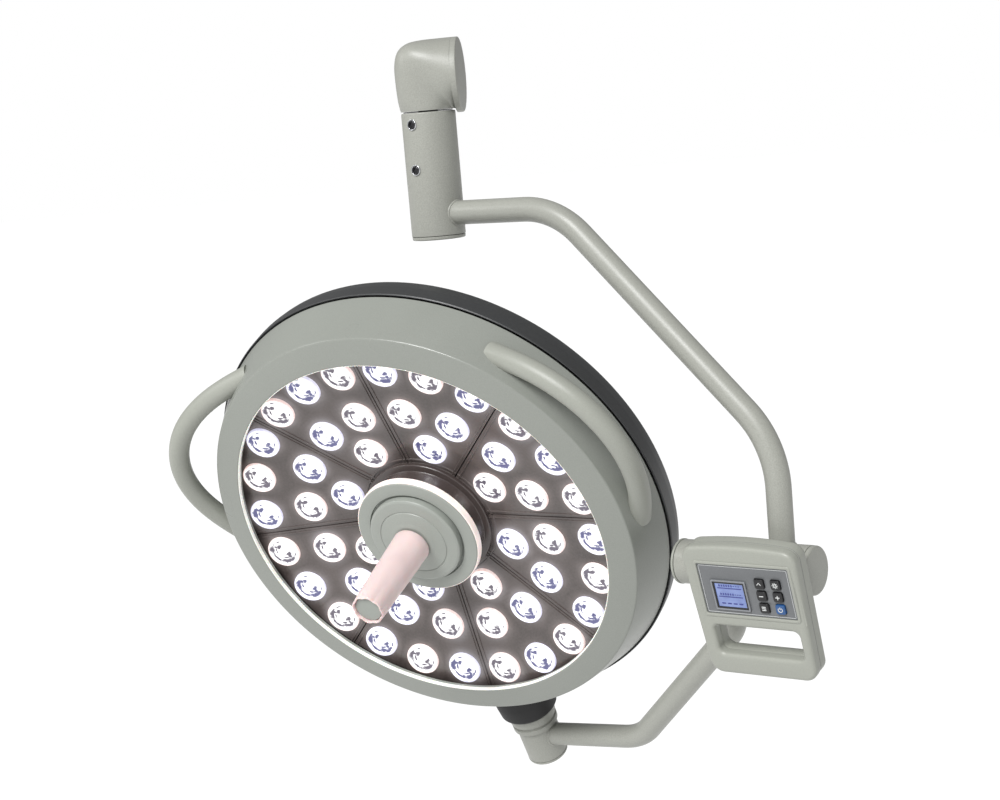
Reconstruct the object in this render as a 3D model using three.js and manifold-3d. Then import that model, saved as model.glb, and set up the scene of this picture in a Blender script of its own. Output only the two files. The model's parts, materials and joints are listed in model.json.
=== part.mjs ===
// Dental operating light: a round 48-LED lamp head carried by a gimbal of two bent-tube yokes.
// Units are millimetres and +Z is up. The origin is the centre of the arm flange's flat face,
// where the lamp's ceiling arm bolts on.
//
// The suspension has three axes:
//   swivel      vertical, through the sleeve under the knuckle
//   tilt pivot  along X, through the barrel at the far end of the upper yoke
//   head pivot  across the tilt pivot, through the socket at the bottom of the lower yoke
// The two pivots cross at the gimbal centre, and the swivel passes just beside it.
import * as THREE from 'three';
import { mergeVertices } from 'three/addons/utils/BufferGeometryUtils.js';
import Module from 'manifold-3d';

const wasm = await Module();
wasm.setup();

// ---------------------------------------------------------------- driving dimensions
const GAP = 0.3; // between neighbouring pieces
const DEG = Math.PI / 180;

// resting pose
const FLANGE_YAW = 30 * DEG; // the arm flange, round the swivel axis from +X
const LOWER_YOKE_TILT = 24.8 * DEG; // the lower yoke, round the tilt pivot
const PANEL_LEAN = -8.3 * DEG; // the control panel, from the plane of the lower yoke
const HEAD_TURN = 8.6 * DEG; // the head, round the head pivot

// knuckle and sleeve, heights from the flange centre
const FLANGE_REACH = 36; // flange face to the swivel axis
const FLANGE_RADIUS = 37;
const FLANGE_THICKNESS = 6;
const SEAM_Z = -32.5; // underside of the knuckle
const SLEEVE_RADIUS = 27;
const SLEEVE_BORE = 16;
const SLEEVE_TOP = SEAM_Z - 1.5;
const SLEEVE_BOTTOM = -156;
const SLEEVE_CAP_THICKNESS = 4;
const SPINDLE_RADIUS = 10;
const SPINDLE_HEAD_RADIUS = 12.5;
const SPINDLE_TOP = 8;
const SPINDLE_END = -148;
const STOP_SCREW_Z = -45.5;
const BRAKE_SCREW_Z = -90;
const SCREW_RADIUS = 4.6;
const GIMBAL_DROP = 473.5; // flange centre down to the gimbal centre
const SWIVEL_OFFSET = 6.5; // swivel axis beyond the gimbal centre, along +X

// bent tubes
const TUBE_RADIUS = 12;
const TUBE_BORE = 9.5;
const UPPER_RUN_Z = 338.5; // upper tube's level run, above the gimbal centre
const UPPER_LEG_X = 374; // upper tube's upright leg
const LOWER_LEG_X = 305; // lower tube's upright leg
const LOWER_RUN_DROP = 254; // lower tube at the head socket
const LOWER_DIAGONAL = 376; // reach plus drop, constant along the lower tube's 45 degree run
const UPPER_DIAGONAL = 490; // reach plus height, constant along the upper tube's 45 degree run

// tilt pivot, stations along X from the gimbal centre
const HUB_START = 268;
const HUB_END = 338.8;
const HUB_RADIUS = 21;
const HOUSING_START = 341.2;
const HOUSING_END = 403;
const HOUSING_RADIUS = 23;
const HOUSING_BORE = 17;
const SHAFT_RADIUS = 10;

// control panel, centred on this station, in front of the tilt pivot
const PANEL_X = 359;
const PANEL_WIDTH = 118;
const PANEL_TAPER = 4; // each side, from the top to the bottom
const PANEL_TOP = 44;
const PANEL_BOTTOM = -88;
const PANEL_CROWN = 4; // rise of the top edge at its middle
const PANEL_REAR = 24.3; // rear face to the tilt pivot
const PANEL_SPLIT = 37;
const PANEL_FRONT = 50;
const PANEL_CORNER = 12;
const FRONT_ROUNDING = 3; // round the edge of the front face and of the grip hole
const REAR_CHAMFER = { depth: 9, inset: 5 };
const WALL = 2.6;
const GRIP_TOP = -38;
const GRIP_BOTTOM = -65;
const GRIP_WIDTH = 85;
const GRIP_X = 2;
const POCKET = { width: 100, low: GRIP_TOP + 7, high: PANEL_TOP - 2 * WALL, corner: 8 };
const LABEL = { width: 93, height: 51, centreX: 2.5, centreZ: 3 };
const DISPLAY = { width: 36, height: 31, x: -15, z: -2.5, border: 2 };
const KEY_SIZE = 9.6;
const KEY_COLUMNS = [18, 34.5];
const KEY_ROWS = [12.4, 0, -12.6];

// head, stations along its optical axis from the head pivot, plus is the back of the head
const HEAD_RISE = 57; // head centre above the gimbal centre
const LED_PLANE = -44; // outer ring of LEDs
const OPENING_RADIUS = 200;
const BEZEL_FRONT = LED_PLANE - 17;
const RIM_Z = -7; // where the bezel's wall meets the rear cover
const RIM_RADIUS = 244;
const COVER_RADIUS = 246.5;
const SHELL = 2.5;
// Outside of the bezel from its front face round the crease to the rim, as [radius, z].
const BEZEL_OUTSIDE = [
  [OPENING_RADIUS + 2, BEZEL_FRONT], [225, -55.6], [227.9, -52.8], [RIM_RADIUS, RIM_Z - 1],
  [RIM_RADIUS, RIM_Z],
];
const BEZEL_INSIDE = [
  [RIM_RADIUS - SHELL, RIM_Z], [225, -51.6], [OPENING_RADIUS + SHELL, BEZEL_FRONT + 3.6],
];
// Outside of the rear cover from its edge to the middle of its dome.
const COVER_OUTSIDE = [
  [COVER_RADIUS, RIM_Z + GAP], [COVER_RADIUS, 10], [245, 19], [240, 27.5], [228, 35], [200, 41],
  [120, 47], [0, 49],
];
const SECTORS = 8;
const DISH_SLOPE = 0.128; // the lens plates sink towards the hub
const LED_RINGS = [
  { radius: 184, offsets: [-15, 0, 15] },
  { radius: 132, offsets: [-11, 11] },
  { radius: 90, offsets: [0] },
];
const LENS_RADIUS = 17.5;
const HUB_DISC_RADIUS = 65;

// side handles: arched bars that stand square on the bezel's wall
const GRIP_BAR_RADIUS = 10.7;
const GRIP_BAR_AZIMUTH = 115 * DEG; // from the head pivot, to either side
const GRIP_BAR_HALF_ANGLE = 24.6 * DEG;
const GRIP_BAR_HEIGHT = 42.5; // crown of the arch above its feet
const GRIP_BAR_LEAN = 36.5 * DEG; // of the arch, from radial towards the front
const GRIP_BAR_FOOT = { radius: 234.5, z: -33.7 };
const GRIP_BAR_OVERRUN = 1.28; // how far the bar is drawn past its feet before it is trimmed

// head socket, distances below the gimbal centre along the head pivot
const BOOT_END = 218;
const COLLAR_END = 240;
const SOCKET_END = 279;
const SOCKET_RADIUS = 22;
const STUB_RADIUS = 12;

// ---------------------------------------------------------------- materials
const paint = (color, roughness) =>
  new THREE.MeshStandardMaterial({ color, roughness, metalness: 0 });
const metal = (color, roughness) =>
  new THREE.MeshStandardMaterial({ color, roughness, metalness: 1 });

const ARM_PAINT = paint(0xb9b9af, 0.45);
const BEZEL_PAINT = paint(0x9aa09a, 0.5);
const COVER_PAINT = paint(0x3c3c3e, 0.5);
const PANEL_PLASTIC = paint(0xbcbcb2, 0.5);
const LABEL_FILM = paint(0x9c9c9c, 0.35);
const BLACK_PLASTIC = paint(0x1c1c1e, 0.5);
const BLUE_PLASTIC = paint(0x2a5d92, 0.4);
const SCREEN = paint(0x8f9fe0, 0.1);
const LENS_PLASTIC = paint(0x4a4340, 0.15);
const HUB_PLASTIC = paint(0x8f9a93, 0.45);
const HANDLE_PLASTIC = paint(0xd9cfcd, 0.4);
const BOARD_GREEN = paint(0x1f5a3a, 0.6);
const STEEL = metal(0xa8abae, 0.3);
const BRONZE = metal(0xa9814a, 0.4);
const ALUMINIUM = metal(0xb9bcbf, 0.4);
const NYLON = paint(0x242426, 0.6);

// ---------------------------------------------------------------- geometry helpers
function signedVolume(geometry) {
  const p = geometry.getAttribute('position');
  const index = geometry.getIndex();
  const [a, b, c] = [new THREE.Vector3(), new THREE.Vector3(), new THREE.Vector3()];
  let volume = 0;
  for (let i = 0; i < index.count; i += 3) {
    a.fromBufferAttribute(p, index.getX(i));
    b.fromBufferAttribute(p, index.getX(i + 1));
    c.fromBufferAttribute(p, index.getX(i + 2));
    volume += a.dot(b.cross(c)) / 6;
  }
  return volume;
}

// One closed solid from a three.js geometry, with its faces pointing out.
function toManifold(source) {
  const geometry = source.clone();
  geometry.deleteAttribute('normal');
  geometry.deleteAttribute('uv');
  const merged = mergeVertices(geometry, 1e-4);
  const index = Array.from(merged.getIndex().array);
  const corners = [];
  for (let i = 0; i < index.length; i += 3) {
    const [a, b, c] = index.slice(i, i + 3);
    if (a !== b && b !== c && c !== a) corners.push(a, b, c);
  }
  merged.setIndex(corners);
  if (signedVolume(merged) < 0) corners.reverse();
  const mesh = new wasm.Mesh({
    numProp: 3,
    vertProperties: new Float32Array(merged.getAttribute('position').array),
    triVerts: new Uint32Array(corners),
  });
  return new wasm.Manifold(mesh);
}

function fromManifold(manifold) {
  const mesh = manifold.getMesh();
  const geometry = new THREE.BufferGeometry();
  geometry.setAttribute('position', new THREE.BufferAttribute(mesh.vertProperties, 3));
  geometry.setIndex(new THREE.BufferAttribute(mesh.triVerts, 1));
  geometry.computeVertexNormals();
  return geometry;
}

function cut(body, ...tools) {
  return fromManifold(tools.reduce((left, tool) => left.subtract(toManifold(tool)), toManifold(body)));
}

function join(...bodies) {
  return fromManifold(bodies.map(toManifold).reduce((left, right) => left.add(right)));
}

// A profile of [radius, z] pairs turned round Z. It starts and ends on the axis, or closes on itself.
function turned(profile, segments = 32) {
  const onAxis = profile[0][0] === 0 && profile[profile.length - 1][0] === 0;
  const loop = onAxis ? profile : [...profile, profile[0]];
  const points = loop.map(([r, z]) => new THREE.Vector2(r, z));
  return new THREE.LatheGeometry(points, segments).rotateX(Math.PI / 2);
}

const rod = (radius, z0, z1, segments = 32) =>
  turned([[0, z0], [radius, z0], [radius, z1], [0, z1]], segments);

const ring = (inner, outer, z0, z1, segments = 32) =>
  turned([[inner, z0], [outer, z0], [outer, z1], [inner, z1]], segments);

// Moves an outline of [radius, z] pairs square to itself, outwards where it runs front to back.
function offsetProfile(profile, distance) {
  return profile.map(([r, z], i) => {
    const [r0, z0] = profile[Math.max(i - 1, 0)];
    const [r1, z1] = profile[Math.min(i + 1, profile.length - 1)];
    const length = Math.hypot(r1 - r0, z1 - z0);
    const moved = r === 0 ? 0 : r + (distance * (z1 - z0)) / length;
    return [moved, z - (distance * (r1 - r0)) / length];
  });
}

const alongX = (geometry) => geometry.rotateY(Math.PI / 2);

// Turns a shape made round +Z so that +Z points to -Y, out of a front face.
const facingFront = (geometry) => geometry.rotateX(Math.PI / 2);

const box = (width, depth, height, x = 0, y = 0, z = 0) =>
  new THREE.BoxGeometry(width, depth, height).translate(x, y, z);

// A plan outline in X and Z, given depth from y0 to y1 (y0 below y1).
function slab(shape, y0, y1, curveSegments = 4) {
  const options = { depth: y1 - y0, bevelEnabled: false, curveSegments };
  return new THREE.ExtrudeGeometry(shape, options).rotateX(Math.PI / 2).translate(0, y1, 0);
}

function roundedRectangle(x, z, width, height, radius, crown = 0, taper = 0) {
  const shape = new THREE.Shape();
  const [left, right, low, high] = [x - width / 2, x + width / 2, z - height / 2, z + height / 2];
  shape.absarc(left + taper + radius, low + radius, radius, Math.PI, 1.5 * Math.PI, false);
  shape.absarc(right - taper - radius, low + radius, radius, 1.5 * Math.PI, 2 * Math.PI, false);
  shape.absarc(right - radius, high - radius, radius, 0, 0.5 * Math.PI, false);
  if (crown > 0) shape.quadraticCurveTo(x, high + 2 * crown, left + radius, high);
  shape.absarc(left + radius, high - radius, radius, 0.5 * Math.PI, Math.PI, false);
  return shape;
}

// Skins a stack of rings. A ring holds its centre, and the two half-axes u and v of its ellipse.
function loft(rings, segments = 32) {
  const steps = rings.length - 1;
  const geometry = new THREE.CylinderGeometry(1, 1, 1, segments, steps);
  const p = geometry.getAttribute('position');
  for (let i = 0; i < p.count; i += 1) {
    const station = rings[Math.round((p.getY(i) + 0.5) * steps)];
    const place = station.centre.clone();
    place.addScaledVector(station.u, p.getX(i)).addScaledVector(station.v, p.getZ(i));
    p.setXYZ(i, place.x, place.y, place.z);
  }
  return geometry;
}

// A polyline in the XZ plane whose inner corners are rounded to the given bend radii.
function bentPath(points, bendRadii) {
  const corners = points.map(([x, z]) => new THREE.Vector3(x, 0, z));
  const path = new THREE.CurvePath();
  let start = corners[0];
  for (let i = 1; i < corners.length - 1; i += 1) {
    const before = corners[i - 1].clone().sub(corners[i]).normalize();
    const after = corners[i + 1].clone().sub(corners[i]).normalize();
    const halfTurn = (Math.PI - before.angleTo(after)) / 2;
    const setback = bendRadii[i - 1] * Math.tan(halfTurn);
    const enter = corners[i].clone().addScaledVector(before, setback);
    const leave = corners[i].clone().addScaledVector(after, setback);
    const pull = (4 / 3) * Math.tan(halfTurn / 2) * bendRadii[i - 1];
    const pullIn = enter.clone().addScaledVector(before, -pull);
    const pullOut = leave.clone().addScaledVector(after, -pull);
    path.add(new THREE.LineCurve3(start, enter));
    path.add(new THREE.CubicBezierCurve3(enter, pullIn, pullOut, leave));
    start = leave;
  }
  path.add(new THREE.LineCurve3(start, corners[corners.length - 1]));
  return path;
}

// A round bar, or a tube where it has a bore, along a path.
function tube(path, outer, inner, steps) {
  const section = new THREE.Shape().absarc(0, 0, outer, 0, 2 * Math.PI, false);
  if (inner > 0) section.holes.push(new THREE.Path().absarc(0, 0, inner, 0, 2 * Math.PI, true));
  return new THREE.ExtrudeGeometry(section, { extrudePath: path, steps, curveSegments: 6 });
}

function place(parent, name, geometry, material) {
  const mesh = new THREE.Mesh(fromManifold(toManifold(geometry)), material);
  mesh.name = name;
  parent.add(mesh);
  return mesh;
}

// ---------------------------------------------------------------- groups of the rigid bodies
const lamp = new THREE.Group();

const knuckle = new THREE.Group();
knuckle.position.set(-FLANGE_REACH * Math.cos(FLANGE_YAW), -FLANGE_REACH * Math.sin(FLANGE_YAW), 0);
lamp.add(knuckle);

const elbow = new THREE.Group();
elbow.rotation.z = FLANGE_YAW;
knuckle.add(elbow);

const upperYoke = new THREE.Group();
upperYoke.position.set(-SWIVEL_OFFSET, 0, -GIMBAL_DROP);
knuckle.add(upperYoke);

const lowerYoke = new THREE.Group();
lowerYoke.rotation.x = LOWER_YOKE_TILT;
upperYoke.add(lowerYoke);

const panel = new THREE.Group();
panel.position.x = PANEL_X;
panel.rotation.x = PANEL_LEAN;
lowerYoke.add(panel);

// In the head's own frame +Z is the back of the head and +Y runs out along the head pivot.
const headTurn = new THREE.Group();
headTurn.position.z = HEAD_RISE;
headTurn.rotation.z = HEAD_TURN;
lowerYoke.add(headTurn);
const head = new THREE.Group();
head.rotation.x = -Math.PI / 2;
headTurn.add(head);

// ---------------------------------------------------------------- knuckle
// The casting bends from the round seam over the sleeve to the larger upright flange.
function knuckleShell() {
  const flangeX = FLANGE_REACH - FLANGE_THICKNESS - GAP;
  const lipZ = SEAM_Z - 0.5;
  const stations = [
    { outer: [-SLEEVE_RADIUS, SEAM_Z], inner: [SLEEVE_RADIUS, SEAM_Z], half: SLEEVE_RADIUS },
    { outer: [-29.2, -4], inner: [28, lipZ + 0.2], half: 28.2 },
    { outer: [-28.4, 14], inner: [28.4, lipZ], half: 29.6 },
    { outer: [-23.8, 27], inner: [28.7, lipZ], half: 31.4 },
    { outer: [-14, 34], inner: [29, lipZ], half: 33.4 },
    { outer: [-1, 36.2], inner: [29.2, lipZ], half: 35 },
    { outer: [flangeX, 36.5], inner: [flangeX, lipZ], half: 36.5 },
  ];
  const rings = stations.map(({ outer, inner, half }) => {
    const a = new THREE.Vector3(outer[0], 0, outer[1]);
    const b = new THREE.Vector3(inner[0], 0, inner[1]);
    return {
      centre: a.clone().add(b).multiplyScalar(0.5),
      u: b.clone().sub(a).multiplyScalar(0.5),
      v: new THREE.Vector3(0, half, 0),
    };
  });
  const spindlePocket = rod(SPINDLE_HEAD_RADIUS + GAP, SEAM_Z - 5, SPINDLE_TOP + GAP, 24);
  return cut(loft(rings, 28), spindlePocket);
}

function armFlange() {
  const start = FLANGE_REACH - FLANGE_THICKNESS;
  const chamfer = 1.5;
  const profile = [
    [0, start], [FLANGE_RADIUS, start], [FLANGE_RADIUS, FLANGE_REACH - chamfer],
    [FLANGE_RADIUS - chamfer, FLANGE_REACH], [0, FLANGE_REACH],
  ];
  return alongX(turned(profile, 28));
}

// Thick head in the knuckle's pocket, long journal in the sleeve, with a groove for the stop screw.
function swivelSpindle() {
  const groove = { top: STOP_SCREW_Z + 3.2, bottom: STOP_SCREW_Z - 3.2, radius: 8.4 };
  return turned([
    [0, SPINDLE_TOP], [SPINDLE_HEAD_RADIUS, SPINDLE_TOP], [SPINDLE_HEAD_RADIUS, SEAM_Z],
    [SPINDLE_RADIUS, SEAM_Z],
    [SPINDLE_RADIUS, groove.top], [groove.radius, groove.top],
    [groove.radius, groove.bottom], [SPINDLE_RADIUS, groove.bottom],
    [SPINDLE_RADIUS, SPINDLE_END], [0, SPINDLE_END],
  ], 24);
}

place(elbow, 'knuckle_shell', knuckleShell(), ARM_PAINT);
place(elbow, 'arm_flange', armFlange(), ARM_PAINT);
place(elbow, 'swivel_spindle', swivelSpindle(), STEEL);

// ---------------------------------------------------------------- sleeve and swivel parts
// These pieces hang on the upper yoke; their heights are from the flange centre.
const sleeveParts = new THREE.Group();
sleeveParts.position.set(SWIVEL_OFFSET, 0, GIMBAL_DROP);
upperYoke.add(sleeveParts);

const screwHole = (z) => facingFront(rod(SCREW_RADIUS + GAP, 8, 40, 20)).translate(0, 0, z);

// A socket set screw: hexagon socket outside, dog point inside, along -Y.
function setScrew(innerEnd, point, z) {
  const outerEnd = SLEEVE_RADIUS - 1.2;
  const body = rod(SCREW_RADIUS, innerEnd, outerEnd, 20);
  const socket = rod(2.8, outerEnd - 4, outerEnd + 1, 6);
  const screw = point ? join(body, rod(2.4, point, innerEnd + 0.5, 16)) : body;
  return facingFront(cut(screw, socket)).translate(0, 0, z);
}

function sleeve() {
  const tubeHole = alongX(rod(TUBE_BORE, 5, 40, 20)).translate(0, 0, UPPER_RUN_Z - GIMBAL_DROP);
  const wall = turned([
    [SLEEVE_BORE, SLEEVE_BOTTOM], [SLEEVE_RADIUS, SLEEVE_BOTTOM], [SLEEVE_RADIUS, SLEEVE_TOP - 1],
    [SLEEVE_RADIUS - 1, SLEEVE_TOP], [SLEEVE_BORE, SLEEVE_TOP],
  ], 28);
  return cut(wall, tubeHole, screwHole(STOP_SCREW_Z), screwHole(BRAKE_SCREW_Z));
}

function sleeveCap() {
  const top = SLEEVE_BOTTOM - GAP;
  const bottom = SLEEVE_BOTTOM - SLEEVE_CAP_THICKNESS;
  const edge = SLEEVE_RADIUS - 0.8;
  return turned([[0, bottom], [edge - 1, bottom], [edge, bottom + 1], [edge, top], [0, top]], 28);
}

const BUSH_WALL = { inner: SPINDLE_RADIUS + GAP, outer: SLEEVE_BORE - GAP };
place(sleeveParts, 'thrust_washer', ring(11, 24.6, SLEEVE_TOP + GAP, SEAM_Z - GAP, 28), NYLON);
place(sleeveParts, 'sleeve', sleeve(), ARM_PAINT);
place(sleeveParts, 'sleeve_cap', sleeveCap(), ARM_PAINT);
place(sleeveParts, 'swivel_bush_upper', ring(BUSH_WALL.inner, BUSH_WALL.outer, -80, -54, 24), BRONZE);
place(sleeveParts, 'swivel_bush_lower', ring(BUSH_WALL.inner, BUSH_WALL.outer, -122, -102, 24), BRONZE);
place(sleeveParts, 'stop_screw', setScrew(15, 9, STOP_SCREW_Z), STEEL);
place(sleeveParts, 'brake_screw', setScrew(18, 0, BRAKE_SCREW_Z), STEEL);
const brakeShoe = facingFront(rod(3.9, SPINDLE_RADIUS + GAP, 17.5, 20)).translate(0, 0, BRAKE_SCREW_Z);
place(sleeveParts, 'brake_shoe', brakeShoe, BRONZE);

// ---------------------------------------------------------------- upper yoke
function upperTube() {
  const path = bentPath([
    [SWIVEL_OFFSET + 15, UPPER_RUN_Z],
    [UPPER_DIAGONAL - UPPER_RUN_Z, UPPER_RUN_Z],
    [UPPER_LEG_X, UPPER_DIAGONAL - UPPER_LEG_X],
    [UPPER_LEG_X, 12],
  ], [90, 100]);
  const sleeveRoom = rod(SLEEVE_RADIUS + GAP, 250, 420, 28).translate(SWIVEL_OFFSET, 0, 0);
  const housingRoom = alongX(rod(HOUSING_RADIUS + GAP, 320, 430, 28));
  return cut(tube(path, TUBE_RADIUS, TUBE_BORE, 20), sleeveRoom, housingRoom);
}

function pivotHousing() {
  const wall = alongX(turned([
    [HOUSING_BORE, HOUSING_START], [HOUSING_RADIUS - 1, HOUSING_START],
    [HOUSING_RADIUS, HOUSING_START + 1], [HOUSING_RADIUS, HOUSING_END],
    [HOUSING_BORE, HOUSING_END],
  ], 28));
  return cut(wall, rod(TUBE_BORE, 5, 40, 20).translate(UPPER_LEG_X, 0, 0));
}

function pivotHousingCap() {
  const start = HOUSING_END + GAP;
  const end = 408;
  const radius = HOUSING_RADIUS;
  return alongX(turned([
    [0, start], [radius, start], [radius, end - 2], [radius - 2, end], [0, end],
  ], 28));
}

place(upperYoke, 'upper_arm_tube', upperTube(), ARM_PAINT);
place(upperYoke, 'pivot_housing', pivotHousing(), ARM_PAINT);
place(upperYoke, 'pivot_housing_cap', pivotHousingCap(), ARM_PAINT);
const pivotBush = alongX(ring(SHAFT_RADIUS + GAP, HOUSING_BORE - GAP, HOUSING_START + 1, 362, 24));
place(upperYoke, 'pivot_bush', pivotBush, BRONZE);

// ---------------------------------------------------------------- lower yoke
function lowerTube() {
  const bendDrop = 241;
  const path = bentPath([
    [12, -LOWER_RUN_DROP],
    [LOWER_DIAGONAL - bendDrop, -bendDrop],
    [LOWER_LEG_X, LOWER_LEG_X - LOWER_DIAGONAL],
    [LOWER_LEG_X, -10],
  ], [60, 60]);
  const socketRoom = rod(SOCKET_RADIUS + GAP, -300, -220, 28);
  const hubRoom = alongX(rod(HUB_RADIUS + GAP, 250, 338, 28));
  return cut(tube(path, TUBE_RADIUS, TUBE_BORE, 20), socketRoom, hubRoom);
}

function pivotHub() {
  const wall = alongX(turned([
    [SHAFT_RADIUS + GAP, HUB_START], [HUB_RADIUS, HUB_START], [HUB_RADIUS, HUB_END],
    [SHAFT_RADIUS + GAP, HUB_END],
  ], 28));
  return cut(wall, rod(TUBE_BORE, -40, -12, 20).translate(LOWER_LEG_X, 0, 0));
}

function pivotHubCap() {
  const end = HUB_START - GAP;
  const start = 265;
  const radius = HUB_RADIUS + 0.4;
  return alongX(turned([
    [0, start], [radius - 1.5, start], [radius, start + 1], [radius, end], [0, end],
  ], 28));
}

function pivotShaft() {
  return alongX(rod(SHAFT_RADIUS, 272, 398, 24));
}

function shaftNut() {
  return cut(alongX(rod(15, 386, 396, 6)), alongX(rod(SHAFT_RADIUS + GAP, 380, 400, 24)));
}

function headSocket() {
  const bore = STUB_RADIUS + 0.5;
  const tubeHole = alongX(rod(TUBE_BORE, 8, 40, 20)).translate(0, 0, -LOWER_RUN_DROP);
  return cut(ring(bore, SOCKET_RADIUS, -SOCKET_END, -COLLAR_END - GAP, 28), tubeHole);
}

function socketCap() {
  const radius = SOCKET_RADIUS + 0.3;
  const bottom = -SOCKET_END - 3.5;
  return turned([
    [0, bottom], [radius - 1.5, bottom], [radius, bottom + 1.5],
    [radius, -SOCKET_END - GAP], [0, -SOCKET_END - GAP],
  ], 28);
}

// Stepped bearing collar between the boot and the socket.
function socketCollar() {
  const bore = STUB_RADIUS + 0.5;
  const top = -BOOT_END - GAP;
  return turned([
    [bore, -COLLAR_END], [23, -COLLAR_END], [24.6, -COLLAR_END + 1.5], [24.6, -COLLAR_END + 6.5],
    [23.2, -COLLAR_END + 7.5], [23.2, -COLLAR_END + 9], [25, -COLLAR_END + 10], [25, top],
    [bore, top],
  ], 30);
}

place(lowerYoke, 'pivot_hub', pivotHub(), ARM_PAINT);
place(lowerYoke, 'pivot_hub_cap', pivotHubCap(), ARM_PAINT);
place(lowerYoke, 'pivot_shaft', pivotShaft(), STEEL);
const frictionWasher = alongX(ring(SHAFT_RADIUS + GAP, 20, HUB_END + GAP, HOUSING_START - GAP, 28));
place(lowerYoke, 'friction_washer', frictionWasher, NYLON);
place(lowerYoke, 'shaft_nut', shaftNut(), STEEL);
place(lowerYoke, 'lower_arm_tube', lowerTube(), ARM_PAINT);
place(lowerYoke, 'head_socket', headSocket(), ARM_PAINT);
place(lowerYoke, 'socket_cap', socketCap(), ARM_PAINT);
place(lowerYoke, 'socket_collar', socketCollar(), ARM_PAINT);

// ---------------------------------------------------------------- control panel
// In the panel's frame -Y is its front. Depths are distances in front of the tilt pivot.
const gripOutline = () => roundedRectangle(
  GRIP_X, (GRIP_TOP + GRIP_BOTTOM) / 2, GRIP_WIDTH, GRIP_TOP - GRIP_BOTTOM, 8);

function panelOutline() {
  const shape = roundedRectangle(
    0, (PANEL_TOP + PANEL_BOTTOM) / 2, PANEL_WIDTH, PANEL_TOP - PANEL_BOTTOM, PANEL_CORNER,
    PANEL_CROWN, PANEL_TAPER);
  shape.holes.push(gripOutline());
  return shape;
}

// The panel's outline over a depth, both its faces drawn in by the given edge.
function panelPlate(depth, edge, edgeSteps) {
  return new THREE.ExtrudeGeometry(panelOutline(), {
    depth, curveSegments: 4, bevelEnabled: true, bevelThickness: edge.depth, bevelSize: edge.inset,
    bevelOffset: -edge.inset, bevelSegments: edgeSteps,
  }).rotateX(Math.PI / 2);
}

const pocket = (y0, y1) => slab(roundedRectangle(
  0, (POCKET.low + POCKET.high) / 2, POCKET.width, POCKET.high - POCKET.low, POCKET.corner), y0, y1, 3);
const keyPlaces = KEY_ROWS.flatMap((z) => KEY_COLUMNS.map((x) => [x, z]));
const keyHole = ([x, z], size, y0, y1) => box(size, y1 - y0, size, x, (y0 + y1) / 2, z);

// The rear shell is chamfered all round, and its half of the grip hole opens out to the back.
function panelBackShell() {
  const plate = panelPlate(20, REAR_CHAMFER, 1).translate(0, -PANEL_REAR - REAR_CHAMFER.depth, 0);
  const ahead = box(300, 60, 300, 0, -PANEL_SPLIT + GAP - 30, 0);
  return cut(plate, ahead, pocket(-PANEL_SPLIT - 1, -PANEL_REAR - WALL));
}

function panelFrontShell() {
  const edge = { depth: FRONT_ROUNDING, inset: FRONT_ROUNDING };
  const plate = panelPlate(20, edge, 2).translate(0, -PANEL_FRONT + FRONT_ROUNDING + 20, 0);
  const behind = box(300, 60, 300, 0, -PANEL_SPLIT + 30, 0);
  const window = box(DISPLAY.width + 2 * GAP, 20, DISPLAY.height + 2 * GAP, DISPLAY.x, -45, DISPLAY.z);
  const keyHoles = keyPlaces.map((at) => keyHole(at, KEY_SIZE + 1, -60, -40));
  return cut(plate, behind, pocket(-PANEL_FRONT + WALL, -30), window, ...keyHoles);
}

function panelOverlay() {
  const film = box(LABEL.width, 0.6, LABEL.height, LABEL.centreX, -PANEL_FRONT - GAP - 0.3, LABEL.centreZ);
  const window = box(DISPLAY.width + 2 * GAP, 5, DISPLAY.height + 2 * GAP, DISPLAY.x, -50, DISPLAY.z);
  return cut(film, window, ...keyPlaces.map((at) => keyHole(at, KEY_SIZE + 1, -56, -46)));
}

function displayBezel() {
  const [width, height] = [DISPLAY.width - 2 * DISPLAY.border, DISPLAY.height - 2 * DISPLAY.border];
  const opening = box(width, 20, height, DISPLAY.x, -50, DISPLAY.z);
  return cut(box(DISPLAY.width, 4, DISPLAY.height, DISPLAY.x, -49.8, DISPLAY.z), opening);
}

// The saddle clamps the panel to the lower yoke's half of the barrel.
function panelSaddle() {
  const [start, end] = [308 - PANEL_X, 336 - PANEL_X];
  const block = box(end - start, 13.5, 34, (start + end) / 2, -PANEL_REAR + GAP + 6.75, 0);
  const barrel = alongX(rod(HUB_RADIUS + GAP, -80, 0, 28));
  return cut(block, barrel);
}

place(panel, 'panel_saddle', panelSaddle(), ARM_PAINT);
place(panel, 'panel_back_shell', panelBackShell(), PANEL_PLASTIC);
place(panel, 'panel_front_shell', panelFrontShell(), PANEL_PLASTIC);
place(panel, 'panel_overlay', panelOverlay(), LABEL_FILM);
place(panel, 'display_bezel', displayBezel(), BLACK_PLASTIC);
const glassWidth = DISPLAY.width - 2 * DISPLAY.border - 2 * GAP;
const glassHeight = DISPLAY.height - 2 * DISPLAY.border - 2 * GAP;
place(panel, 'display_glass', box(glassWidth, 3, glassHeight, DISPLAY.x, -49, DISPLAY.z), SCREEN);
place(panel, 'control_board', box(POCKET.width - 4, 1.6, 62, 0, -41, 4), BOARD_GREEN);

const KEY_NAMES = ['key_up', 'key_brighter', 'key_colder', 'key_warmer', 'key_mode', 'key_power'];
keyPlaces.forEach(([x, z], i) => {
  const material = KEY_NAMES[i] === 'key_power' ? BLUE_PLASTIC : BLACK_PLASTIC;
  place(panel, KEY_NAMES[i], box(KEY_SIZE, 7.6, KEY_SIZE, x, -48.1, z), material);
});

// ---------------------------------------------------------------- head casing
const alongPivot = (geometry) => geometry.rotateX(-Math.PI / 2);
const stubHole = () => alongPivot(rod(STUB_RADIUS + 1.5, 200, 260, 24));

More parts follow.
